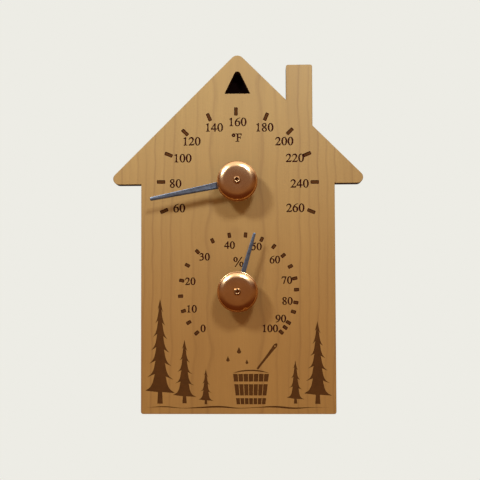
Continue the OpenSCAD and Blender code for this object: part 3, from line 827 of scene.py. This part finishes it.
def bored_maple(board):
    """Maple bored out with a flat bit: rings of tool marks, a little brown from the bit's heat."""
    made, tree = start_material("maple_bored")
    fibres = add(tree, "TexNoise", {"Vector": grain(tree, (0.6, 0.6, 9)), "Scale": 1.0, "Detail": 3.0})
    marks = add(tree, "TexNoise", {"Vector": grain(tree, (0.9, 0.25, 0.9)), "Scale": 1.0})
    both = add(tree, "Math", {0: fibres, 1: marks}, operation="MULTIPLY")
    share = add(tree, "MapRange", {"Value": both, "From Min": 0.12, "From Max": 0.4})
    wood = add(tree, "Mix", {"Factor": share, "A": board.ring, "B": board.wood_low}, data_type="RGBA")
    close_surface(tree, {"Base Color": wood, "Roughness": 0.75}, both, 0.6, 0.08)
    return made


# Attribute that keeps each point's place round its own pivot, in millimetres, so that turned lines follow it
FROM_AXIS = "from_axis"


def keep_axis(mesh):
    """Stores where each point lies round the axis, while the mesh still lies flat round it."""
    places = mesh.attributes.new(FROM_AXIS, "FLOAT_VECTOR", "POINT")
    for item, vert in zip(places.data, mesh.vertices):
        item.vector = vert.co


def spun_copper(movement):
    """Copper spun and polished on a lathe under clear lacquer: a deep mirror with faint rings and brown bloom."""
    made, tree = start_material("copper_spun_lacquered")
    axis = add(tree, "Attribute", attribute_name=FROM_AXIS)
    flat = add(tree, "VectorMath", {0: axis.outputs["Vector"], 1: (1, 1, 0)}, operation="MULTIPLY")
    radius = add(tree, "VectorMath", {0: flat}, operation="LENGTH")
    along = add(tree, "CombineXYZ", {"X": radius})
    # Lathe lines are finer in truth; at a fifth of a millimetre they still show
    lines = add(tree, "TexNoise", {"Vector": along, "Scale": 1 / 0.2, "Detail": 3.0, "Roughness": 0.7})
    bloom = add(tree, "TexNoise", {"Vector": axis.outputs["Vector"], "Scale": 1 / 6.0, "Detail": 4.0})
    specks = add(tree, "TexNoise", {"Vector": axis.outputs["Vector"], "Scale": 1 / 0.7, "Detail": 2.0})
    speck = add(tree, "MapRange", {"Value": specks, "From Min": 0.68, "From Max": 0.76, "To Max": 0.35})
    bloom_share = add(tree, "MapRange", {"Value": bloom, "From Min": 0.4, "From Max": 0.8, "To Max": 0.3})
    share = add(tree, "Math", {0: bloom_share, 1: speck}, operation="MAXIMUM")
    tint = add(tree, "Mix", {"Factor": share, "A": movement.copper,
                             "B": movement.copper_dark}, data_type="RGBA")
    dull = add(tree, "MapRange", {"Value": lines, "From Min": 0.3, "From Max": 0.7, "To Min": 0.21,
                                  "To Max": 0.27})
    close_surface(tree, {"Base Color": tint, "Metallic": 1.0, "Roughness": dull,
                         "Coat Weight": 0.05, "Coat Roughness": 0.1}, lines, 0.1, 0.004)
    return made


def rolled_metal(name, tint, worn, cell, rough):
    """Sheet or bar metal: fine lines along one direction, duller patches and a few darker stains."""
    made, tree = start_material(name)
    lines = add(tree, "TexNoise", {"Vector": grain(tree, cell), "Scale": 1.0, "Detail": 4.0, "Roughness": 0.65})
    stain = add(tree, "TexNoise", {"Vector": grain(tree, (3, 3, 3)), "Scale": 1.0, "Detail": 4.0})
    share = add(tree, "MapRange", {"Value": stain, "From Min": 0.45, "From Max": 0.75})
    tone = add(tree, "Mix", {"Factor": share, "A": tint, "B": worn}, data_type="RGBA")
    dull = add(tree, "MapRange", {"Value": lines, "From Min": 0.3, "From Max": 0.7,
                                  "To Min": rough - 0.08, "To Max": rough + 0.1})
    close_surface(tree, {"Base Color": tone, "Metallic": 1.0, "Roughness": dull}, lines, 0.4, 0.01)
    return made


def swelling_laminate(movement):
    """Coated strip of the humidity coil: a dull cream layer with faint fibres."""
    made, tree = start_material("laminate_coated")
    fibres = add(tree, "TexNoise", {"Vector": grain(tree, (0.5, 0.5, 0.5)), "Scale": 1.0, "Detail": 4.0})
    share = add(tree, "MapRange", {"Value": fibres, "From Min": 0.35, "From Max": 0.7})
    tone = add(tree, "Mix", {"Factor": share, "A": movement.laminate,
                             "B": shade(movement.laminate, 0.75)}, data_type="RGBA")
    close_surface(tree, {"Base Color": tone, "Roughness": 0.7}, fibres, 0.3, 0.02)
    return made


def depths(node):
    """Nearest and furthest depth of a node in front of the board's face, in millimetres."""
    low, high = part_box(node)
    return -high.y / MM - BOARD_T, -low.y / MM - BOARD_T


def cap_profile(movement, kind, bore):
    """Half section of a cap as a closed list of points (radius, depth): a flat seat, then arcs that run into
    each other over the crown, the sloping shoulder and the corner, and the wall with its rolled lip."""
    low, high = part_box(kind + "_cap")
    rim, outer = depths(kind + "_cap")[0], (high.x - low.x) / MM / 2
    sheet, lip = mm(movement.cap_sheet), mm(movement.lip_radius)
    wall = outer - mm(movement.lip_out)
    seat = depths("rivets")[1] - 2 * mm(movement.rivet_bead)
    lip_centre = (outer - lip, rim + lip)
    leans = (0, movement.crown_lean, movement.shoulder_lean, math.pi / 2)
    edges = (mm(movement.seat_radius), mm(movement.crown_edge), mm(movement.shoulder_edge), wall)

    def skin(inset):
        """The face from the rivet outwards, taken in from the outer face."""
        points = [Vector((bore, seat - inset, 0)), Vector((edges[0], seat - inset, 0))]
        spot = Vector((edges[0], seat))
        for start, end, edge in zip(leans, leans[1:], edges[1:]):
            radius = (edge - spot.x) / (math.sin(end) - math.sin(start))
            centre = spot - radius * Vector((math.sin(start), math.cos(start)))
            spot = centre + radius * Vector((math.sin(end), math.cos(end)))
            points += list(arc(centre, radius - inset, 90 - math.degrees(start), 90 - math.degrees(end), 10))[1:]
        return points

    lip_from = math.degrees(math.acos((wall - lip_centre[0]) / lip))
    lip_to = math.degrees(math.acos((wall - sheet - lip_centre[0]) / lip)) - 360
    bead = list(arc(lip_centre, lip, lip_from, lip_to, 18))
    return skin(0) + bead + skin(sheet)[::-1]


def rivet_profile(movement):
    """Half section of a rivet as points (radius, depth), from the axis behind to the axis down the bore."""
    back, front = depths("rivets")
    head, neck = mm(movement.rivet_head) / 2, back + mm(movement.rivet_head_thickness)
    shank, bore, bead = mm(movement.rivet_shank) / 2, mm(movement.rivet_bore) / 2, mm(movement.rivet_bead)
    # Rounding of the rear head, and the depth of the point that the drill leaves
    edge, drilled = 0.35, 0.3
    floor = front - mm(movement.rivet_bore_depth)
    bead_from = -math.degrees(math.acos((shank - bore - bead) / bead))
    return [Vector((0, back, 0)), *arc((head - edge, back + edge), edge, -90, 0, 4), Vector((head, neck, 0)),
            Vector((shank, neck, 0)), *arc((bore + bead, front - bead), bead, bead_from, 180, 16),
            Vector((bore, floor, 0)), Vector((0, floor - drilled, 0))]


def spun(profile, name, segments=128, closed=True):
    """Mesh spun about the axis from a section (radius, depth). An open section starts and ends on the axis."""
    bm = bmesh.new()
    verts = [bm.verts.new((point.x, 0, point.y)) for point in profile]
    pairs = list(zip(verts, verts[1:])) + ([(verts[-1], verts[0])] if closed else [])
    edges = [bm.edges.new(pair) for pair in pairs]
    bmesh.ops.spin(bm, geom=verts + edges, cent=(0, 0, 0), axis=(0, 0, 1), angle=math.tau, steps=segments,
                   use_merge=True, use_duplicate=False)
    bmesh.ops.remove_doubles(bm, verts=bm.verts, dist=0.0005)
    bmesh.ops.recalc_face_normals(bm, faces=bm.faces)
    for face in bm.faces:
        face.smooth = True
    return into_mesh(bm, name)


def dent(mesh, spot, push, width):
    """Pushes a mesh in round a spot, as a knock does."""
    for vert in mesh.vertices:
        vert.co += push * math.exp(-((vert.co - spot).length / width) ** 2)


def roll_unevenly(mesh, neck, phase):
    """Makes a rivet's rolled end uneven, as a hand press leaves it. Nothing grows past the even shape, and the
    unevenness is whole from a millimetre past the neck."""
    for vert in mesh.vertices:
        if vert.co.z > neck:
            angle = math.atan2(vert.co.y, vert.co.x) + phase
            share = min(1.0, vert.co.z - neck)
            narrowed = 0.05 + 0.04 * math.sin(2 * angle) + 0.03 * math.sin(5 * angle)
            sunk = 0.12 + 0.08 * math.sin(angle + 1.0) + 0.04 * math.sin(4 * angle)
            vert.co.x *= 1 - share * narrowed
            vert.co.y *= 1 - share * narrowed
            vert.co.z -= share * sunk


def pointer(movement, kind):
    """A pointer that lies round its pivot: an eye and a tapered strip, with slopes pressed along its edges."""
    long, wide, tip = (mm(getattr(movement, kind + part)) for part in ("_length", "_width", "_tip"))
    eye, hole = mm(movement.pointer_eye) / 2, mm(movement.hub_barrel) / 2 + CLEARANCE
    crown = mm(movement.pointer_crown)
    end = long - tip / 2
    joint = math.degrees(math.asin((wide - (wide - tip) * eye / end) / 2 / eye))
    points = []
    for bow in (arc((0, 0), eye, joint, 360 - joint, 16), arc((end, 0), tip / 2, -90, 90, 6)):
        knots = [(spot.x, spot.y, 1) for spot in bow]
        # Straight edges run from the eye to the tip, so both bows end in corners
        knots[0], knots[-1] = knots[0][:2], knots[-1][:2]
        points += knots
    drawing = flat_curve(kind + "_pointer")
    angle = math.pi - getattr(movement, kind + "_rest")
    outline(drawing, points, (0, 0), 1, angle)
    outline(drawing, oval(0, 0, hole, hole, 16))
    back, front = depths(kind + "_pointer")
    bm = solid_curve(drawing, back, front - crown)
    top = [face for face in bm.faces if face.normal.z > 0.9]
    bmesh.ops.inset_region(bm, faces=top, thickness=mm(movement.pointer_slope), depth=crown,
                           use_boundary=True, use_even_offset=True)
    for face in bm.faces:
        face.smooth = True
    return into_mesh(bm, kind + "_pointer_pressed")


def lengthen(bm, edges, matrix):
    """Extrudes a strip's open end and moves the new end by a matrix. Returns the new end's edges."""
    done = bmesh.ops.extrude_edge_only(bm, edges=edges)["geom"]
    bmesh.ops.transform(bm, matrix=matrix, verts=[item for item in done if isinstance(item, bmesh.types.BMVert)])
    new = [item for item in done if isinstance(item, bmesh.types.BMEdge)]
    return [edge for edge in new if len(edge.link_faces) == 1]


def coil_way(movement, kind):
    """Radius of the strip's first turn, distance from turn to turn, and number of turns to the lug."""
    thick = mm(getattr(movement, kind + "_strip"))
    turns = getattr(movement, kind + "_turns") + 0.5
    first = mm(movement.hub_barrel) / 2 + mm(movement.first_turn_gap) + thick / 2
    lug = PIVOTS[BODIES[kind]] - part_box(kind + "_coil")[0].z / MM
    return first, (lug - thick / 2 - first) / turns, turns


def wound_strip(movement, kind):
    """Strip wound from the hub's slot at twelve o'clock out to the bracket's lug at six. Every half turn has
    its own middle, so that the turns stand evenly apart."""
    first, pitch, turns = coil_way(movement, kind)
    thick, fold = mm(getattr(movement, kind + "_strip")) / 2, mm(movement.fold_radius)
    start = mm(movement.hub_barrel) / 2 - mm(movement.tuck)
    low, high = depths(kind + "_coil")
    bm = bmesh.new()
    corners = [bm.verts.new((x, start, z))
               for x, z in ((-thick, low), (thick, low), (thick, high), (-thick, high))]
    end = [bm.edges.new(pair) for pair in zip(corners, corners[1:] + corners[:1])]
    bmesh.ops.contextual_create(bm, geom=end)

    def wind(edges, centre, degrees, steps):
        """Carries the strip on round a centre, against the clock."""
        there = Matrix.Translation((*centre, 0))
        step = there @ Matrix.Rotation(math.radians(degrees / steps), 4, "Z") @ there.inverted()
        for _ in range(steps):
            edges = lengthen(bm, edges, step)
        return edges

    end = lengthen(bm, end, Matrix.Translation((0, first - fold - start, 0)))
    end = wind(end, (-fold, first - fold), 90, 5)
    reach, side = first, 1
    for half in range(round(2 * turns)):
        radius = first + pitch / 4 + half * pitch / 2
        middle = side * (reach - radius)
        end = wind(end, (-fold if half == 0 else 0, middle), 180, 18)
        if half == 0:
            end = lengthen(bm, end, Matrix.Translation((fold, 0, 0)))
        reach, side = 2 * radius - reach, -side
    end = lengthen(bm, end, Matrix.Translation((mm(movement.tab), 0, 0)))
    bmesh.ops.contextual_create(bm, geom=end)
    bmesh.ops.recalc_face_normals(bm, faces=bm.faces)
    for face in bm.faces:
        middle = face.calc_center_median()
        face.smooth = True
        face.material_index = 1 if face.normal.x * middle.x + face.normal.y * middle.y > 0 else 0
    return into_mesh(bm, kind + "_coil_wound")


def hub_share(spot, first, pitch, turns):
    """Share of the way from a coil's outer end to its inner end, for a spot (x, y) round the pivot."""
    angle = math.atan2(-spot.x, spot.y) / math.tau % 1
    whole = round((spot.xy.length - first) / pitch - angle)
    return 1 - min(1, max(0, (whole + angle) / turns))


def sharpen(mesh, degrees):
    """Keeps edges sharper than an angle crisp on a smooth mesh."""
    mesh.set_sharp_from_angle(angle=math.radians(degrees))


def stand_up(mesh, height):
    """Stands a flat mesh up round a pivot and returns it."""
    mesh.transform(standing(height))
    return mesh


class SAUNA_OT_stage(bpy.types.Operator):
    """Place the camera, the lamps, the world, the floor and the black card of painted shade behind the hanging
    hole
    """
    bl_idname = "sauna.stage"
    bl_label = "Stage"

    def execute(self, context):
        stage = settings().stage
        self.camera(context, stage)
        self.lamps(context, stage)
        self.world(context, stage)
        self.floor(stage)
        self.dark_card(stage)
        return {"FINISHED"}

    def camera(self, context, stage):
        lens = bpy.data.cameras.new("camera")
        lens.lens = stage.lens
        lens.sensor_width = 36
        lens.shift_y = stage.shift
        camera = bpy.data.objects.new("camera", lens)
        camera.location = (stage.camera_side, -stage.distance, stage.camera_height)
        camera.rotation_euler = (math.pi / 2 + stage.tilt, stage.roll, stage.swing)
        context.scene.collection.objects.link(camera)
        context.scene.camera = camera
        context.scene.view_settings.view_transform = "Standard"

    def lamps(self, context, stage):
        aim = Vector((0, 0, sum(PIVOTS.values()) / len(PIVOTS) * MM))
        for name, x, power in (("lamp_left", -stage.left_side, stage.left_power),
                               ("lamp_right", stage.right_side, stage.right_power)):
            light = bpy.data.lights.new(name, "AREA")
            light.shape = "SQUARE"
            light.size = stage.lamp_size
            light.energy = power
            light.color = stage.lamp_light[:3]
            lamp = bpy.data.objects.new(name, light)
            lamp.location = (x, -stage.lamp_front, stage.lamp_height)
            lamp.rotation_euler = (aim - lamp.location).to_track_quat("-Z", "Y").to_euler()
            context.scene.collection.objects.link(lamp)

    def world(self, context, stage):
        """Pale ground for the camera. Metal mirrors that ground above and behind, and a dim wooden room in
        front and below. Everything else gets soft even light."""
        world = bpy.data.worlds.new("studio")
        context.scene.world = world
        world.use_nodes = True
        tree = world.node_tree
        tree.nodes.clear()
        rays = add(tree, "LightPath")
        direction = add(tree, "TexCoord")
        axes = add(tree, "SeparateXYZ", {0: direction.outputs["Generated"]})
        above = add(tree, "MapRange", {"Value": axes.outputs["Z"], "From Min": 0.42, "From Max": 0.7},
                    interpolation_type="SMOOTHSTEP")
        behind = add(tree, "MapRange", {"Value": axes.outputs["Y"], "From Min": 0.6, "From Max": 0.95},
                     interpolation_type="SMOOTHSTEP")
        share = add(tree, "Math", {0: above, 1: behind}, operation="MAXIMUM")
        level = add(tree, "MapRange", {"Value": axes.outputs["Z"], "From Min": -1.0})
        room, horizon = stage.room, stage.horizon
        walls = add(tree, "ValToRGB", {0: level},
                    stops=((0.3, room), (0.62, room), (0.44, horizon), (0.53, horizon)))
        around = add(tree, "Mix", {"Factor": share, "A": walls, "B": stage.backdrop}, data_type="RGBA")
        brightness = add(tree, "MapRange", {"Value": above, "To Min": 1.0, "To Max": stage.ceiling})
        mirrored = add(tree, "Background", {"Color": around, "Strength": brightness})
        pale = add(tree, "Background", {"Color": stage.backdrop, "Strength": 1.0})
        soft = add(tree, "Background", {"Color": stage.soft_light, "Strength": stage.soft})
        seen_mirrored = add(tree, "MixShader", {0: rays.outputs["Is Glossy Ray"], 1: soft, 2: mirrored})
        straight = add(tree, "Math", {0: rays.outputs["Is Camera Ray"], 1: rays.outputs["Is Transmission Ray"]},
                       operation="MAXIMUM")
        seen = add(tree, "MixShader", {0: straight, 1: seen_mirrored, 2: pale})
        add(tree, "OutputWorld", {"Surface": seen})

    def floor(self, stage):
        """A wide pale floor that takes the shadow near the object and melts into the backdrop further out.
        The metal mirrors the dim room in its place."""
        bm = bmesh.new()
        bmesh.ops.create_circle(bm, cap_ends=True, segments=96, radius=stage.floor_radius)
        bmesh.ops.translate(bm, vec=(0, 0, -stage.floor_drop), verts=bm.verts)
        made, tree = start_material("floor_pale")
        place = add(tree, "TexCoord")
        flat = add(tree, "VectorMath", {0: place.outputs["Object"], 1: (1, 1, 0)}, operation="MULTIPLY")
        away = add(tree, "VectorMath", {0: flat}, operation="LENGTH")
        fade = add(tree, "MapRange", {"Value": away, "From Min": 0.5, "From Max": 1.2,
                                      "To Min": 0.7}, interpolation_type="SMOOTHSTEP")
        mottle = add(tree, "TexNoise", {"Vector": grain(tree, (30, 30, 30)), "Scale": 1.0, "Detail": 3.0})
        rough = add(tree, "MapRange", {"Value": mottle, "To Min": 0.7, "To Max": 0.9})
        matt = add(tree, "BsdfPrincipled", {"Base Color": stage.backdrop, "Roughness": rough})
        glow = add(tree, "Emission", {"Color": stage.backdrop})
        rays = add(tree, "LightPath")
        seen = add(tree, "Math", {0: 1.0, 1: rays.outputs["Is Diffuse Ray"]}, operation="SUBTRACT")
        factor = add(tree, "Math", {0: fade, 1: seen}, operation="MULTIPLY")
        both = add(tree, "MixShader", {0: factor, 1: matt, 2: glow})
        close_material(tree, both)
        floor = show(into_mesh(bm, "floor"), "floor", [made])
        floor.visible_glossy = False

    def dark_card(self, stage):
        """The hanging hole shows a dark wall and the shade inside it: a black card behind it, seen from the front
        alone, paints that shade.
        """
        made, tree = start_material("card_black_painted_shade")
        faces = add(tree, "NewGeometry")
        felt = add(tree, "TexNoise", {"Vector": grain(tree, (0.4, 0.4, 0.4)), "Scale": 1.0})
        tone = add(tree, "Mix", {"Factor": felt, "A": stage.card_dark, "B": stage.card_light}, data_type="RGBA")
        black = add(tree, "BsdfPrincipled", {"Base Color": tone, "Roughness": 1.0, "Specular IOR Level": 0.0})
        clear = add(tree, "BsdfTransparent")
        both = add(tree, "MixShader", {0: faces.outputs["Backfacing"], 1: black, 2: clear})
        close_material(tree, both)
        bm = bmesh.new()
        # The card has the hole's shape, is wider by a share and taller by a margin, and lies behind the board
        widened, margin, gap = 1.3, 3.0, 1.0
        rounded_loop(bm, [(x * widened, y + (margin if radius else -margin), radius)
                          for x, y, radius in hole_corners(settings().board)])
        face = bmesh.ops.contextual_create(bm, geom=bm.edges)["faces"][0]
        face.normal_update()
        if face.normal.z < 0:
            face.normal_flip()
        show(into_mesh(bm, "dark_card", standing(0, -gap)), "dark_card", [made])


class SAUNA_OT_board(bpy.types.Operator):
    """Cut and engrave the house-shaped board"""
    bl_idname = "sauna.board"
    bl_label = "House board"

    def execute(self, context):
        board, dials = settings().board, settings().dials
        mesh = house_board(board, dials)
        burns = [scorched(*burn) for burn in (
            ("maple_laser_cut", board.burnt, 0.5, (0.5, 12, 0.5), 0.8, 0.06),
            ("maple_engraved", board.engraved, 0.7, (2.5, 2.5, 0.25), 0.85, 0.05),
            ("maple_engraved_pale", board.engraved_pale, 0.8, (2.5, 2.5, 0.25), 0.85, 0.05))]
        shown = show(mesh, "house_board_engraved", [maple(board), *burns, bored_maple(board)])
        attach(shown, "board")
        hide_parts("house_board")
        return {"FINISHED"}


class SAUNA_OT_caps(bpy.types.Operator):
    """Spin the two copper caps"""
    bl_idname = "sauna.caps"
    bl_label = "Copper caps"

    def execute(self, context):
        movement = settings().movement
        copper = spun_copper(movement)
        bore = mm(movement.rivet_shank) / 2 + CLEARANCE
        for kind, body in BODIES.items():
            mesh = spun(cap_profile(movement, kind, bore), kind + "_cap_spun")
            keep_axis(mesh)
            if kind == "humidity":
                # A small knock on the shoulder at five o'clock, pushed in and back
                knock, push, width = Vector((4.7, -10.8, 13.2)), Vector((-0.25, 0.57, -0.4)), 1.0
                dent(mesh, knock, push, width)
            sharpen(mesh, 35)
            stand_up(mesh, PIVOTS[body])
            cap = show(mesh, kind + "_cap_spun", [copper])
            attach(cap, "board")
            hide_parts(kind + "_cap")
        return {"FINISHED"}


class SAUNA_OT_pointers(bpy.types.Operator):
    """Press the two pointers from blued steel"""
    bl_idname = "sauna.pointers"
    bl_label = "Pointers"

    def execute(self, context):
        movement = settings().movement
        # Steel strip coloured by heat: a blue-grey sheen with small stains
        blued = rolled_metal("steel_blued", movement.blued, shade(movement.blued, 0.6), (0.3, 0.3, 0.3), 0.38)
        for kind, body in BODIES.items():
            mesh = stand_up(pointer(movement, kind), PIVOTS[body])
            sharpen(mesh, 40)
            hand = show(mesh, kind + "_pointer_pressed", [blued])
            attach(hand, body)
            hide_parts(kind + "_pointer")
        return {"FINISHED"}


class SAUNA_OT_coils(bpy.types.Operator):
    """Wind the two coils, which follow their hubs at one end and stay on the bracket's lug at the other"""
    bl_idname = "sauna.coils"
    bl_label = "Coils"

    def execute(self, context):
        movement = settings().movement
        lines = (2, 2, 0.2)
        # Two metals rolled into one strip: yellow brass outside, grey steel inside, both with fine lines
        brassy = rolled_metal("bimetal_outer", movement.brass, shade(movement.brass, 0.6), lines, 0.34)
        grey = rolled_metal("bimetal_inner", movement.steel, shade(movement.steel, 0.7), lines, 0.3)
        sides = {"temperature": ("bimetal", [grey, brassy]),
                 "humidity": ("laminate", [grey, swelling_laminate(movement)])}
        for kind, (slot, finishes) in sides.items():
            mesh = wound_strip(movement, kind)
            shares = [hub_share(vert.co, *coil_way(movement, kind)) for vert in mesh.vertices]
            body = BODIES[kind]
            stand_up(mesh, PIVOTS[body])
            sharpen(mesh, 40)
            coil = show(mesh, kind + "_coil_wound", finishes)
            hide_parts(kind + "_coil")
            low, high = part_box(kind + "_coil")
            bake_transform(coil, "board", body, start=tuple(low), end=tuple(high))
            # The strip winds along its own length, so each point's share follows the turns
            mesh.attributes["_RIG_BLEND"].data.foreach_set("value", shares)
        return {"FINISHED"}


class SAUNA_OT_rivets(bpy.types.Operator):
    """Roll the two tubular rivets over the caps"""
    bl_idname = "sauna.rivets"
    bl_label = "Rivets"

    def execute(self, context):
        movement = settings().movement
        neck = depths("rivets")[1] - 2 * mm(movement.rivet_bead)
        both = bmesh.new()
        for index, pivot in enumerate(PIVOTS.values()):
            mesh = spun(rivet_profile(movement), "rivet", segments=48, closed=False)
            # The second rivet is uneven in other places than the first
            roll_unevenly(mesh, neck, 1.9 * index)
            both.from_mesh(stand_up(mesh, pivot))
        mesh = into_mesh(both, "rivets_rolled")
        sharpen(mesh, 35)
        # Drawn copper tube, rolled over by a tool: darker and duller than the polished caps
        copper = rolled_metal("copper_rivet", shade(movement.copper, 0.62), shade(movement.copper_dark, 0.8),
                              (0.3, 0.3, 0.3), 0.32)
        rivets = show(mesh, "rivets_rolled", [copper])
        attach(rivets, "board")
        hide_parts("rivets")
        return {"FINISHED"}


class SAUNA_OT_small_parts(bpy.types.Operator):
    """Finish the washers, spacers, sleeves, brackets and hubs that come from the frame"""
    bl_idname = "sauna.small_parts"
    bl_label = "Small parts"

    def execute(self, context):
        movement = settings().movement
        # Rolled brass shows fine lines from side to side; zinc plating is even, pale and a little mottled
        brass = rolled_metal("brass_rolled", movement.brass, shade(movement.brass, 0.6), (0.2, 2, 2), 0.32)
        steel = rolled_metal("steel_zinc_plated", movement.steel, shade(movement.steel, 0.7),
                             (0.8, 0.8, 0.8), 0.36)
        finishes = {
            brass: ["front_washers", "temperature_spacer", "humidity_spacer", "temperature_bracket",
                    "humidity_bracket", "temperature_hub", "humidity_hub"],
            steel: ["back_washers", "cap_washers", "lug_rivets", "temperature_sleeve", "humidity_sleeve"],
        }
        for finish, nodes in finishes.items():
            for node in nodes:
                mesh = frame["nodes"][node].data
                mesh.materials.clear()
                mesh.materials.append(finish)
        return {"FINISHED"}


class SAUNA_PT_panel(bpy.types.Panel):
    """Lists the steps and their settings"""
    bl_idname = "SAUNA_PT_panel"
    bl_label = "Sauna Thermometer"
    bl_space_type = "VIEW_3D"
    bl_region_type = "UI"
    bl_category = "Sauna"

    def draw(self, context):
        for operator in OPERATORS:
            self.layout.operator(operator.bl_idname)
        for group in ("board", "dials", "movement", "stage"):
            box = self.layout.box()
            box.label(text=group.capitalize())
            values = getattr(settings(), group)
            for name in values.__annotations__:
                box.prop(values, name)


OPERATORS = (SAUNA_OT_stage, SAUNA_OT_board, SAUNA_OT_caps, SAUNA_OT_pointers, SAUNA_OT_coils, SAUNA_OT_rivets,
             SAUNA_OT_small_parts)
GROUPS = (BoardSettings, DialSettings, MovementSettings, StageSettings, SaunaSettings)


def register():
    for item in (*GROUPS, *OPERATORS, SAUNA_PT_panel):
        bpy.utils.register_class(item)
    bpy.types.Scene.sauna_thermometer = PointerProperty(type=SaunaSettings)


def unregister():
    del bpy.types.Scene.sauna_thermometer
    for item in reversed((*GROUPS, *OPERATORS, SAUNA_PT_panel)):
        bpy.utils.unregister_class(item)


def main():
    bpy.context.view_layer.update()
    register()
    bpy.ops.sauna.stage()
    bpy.ops.sauna.board()
    bpy.ops.sauna.caps()
    bpy.ops.sauna.pointers()
    bpy.ops.sauna.coils()
    bpy.ops.sauna.rivets()
    bpy.ops.sauna.small_parts()


if __name__ == "__main__":
    main()
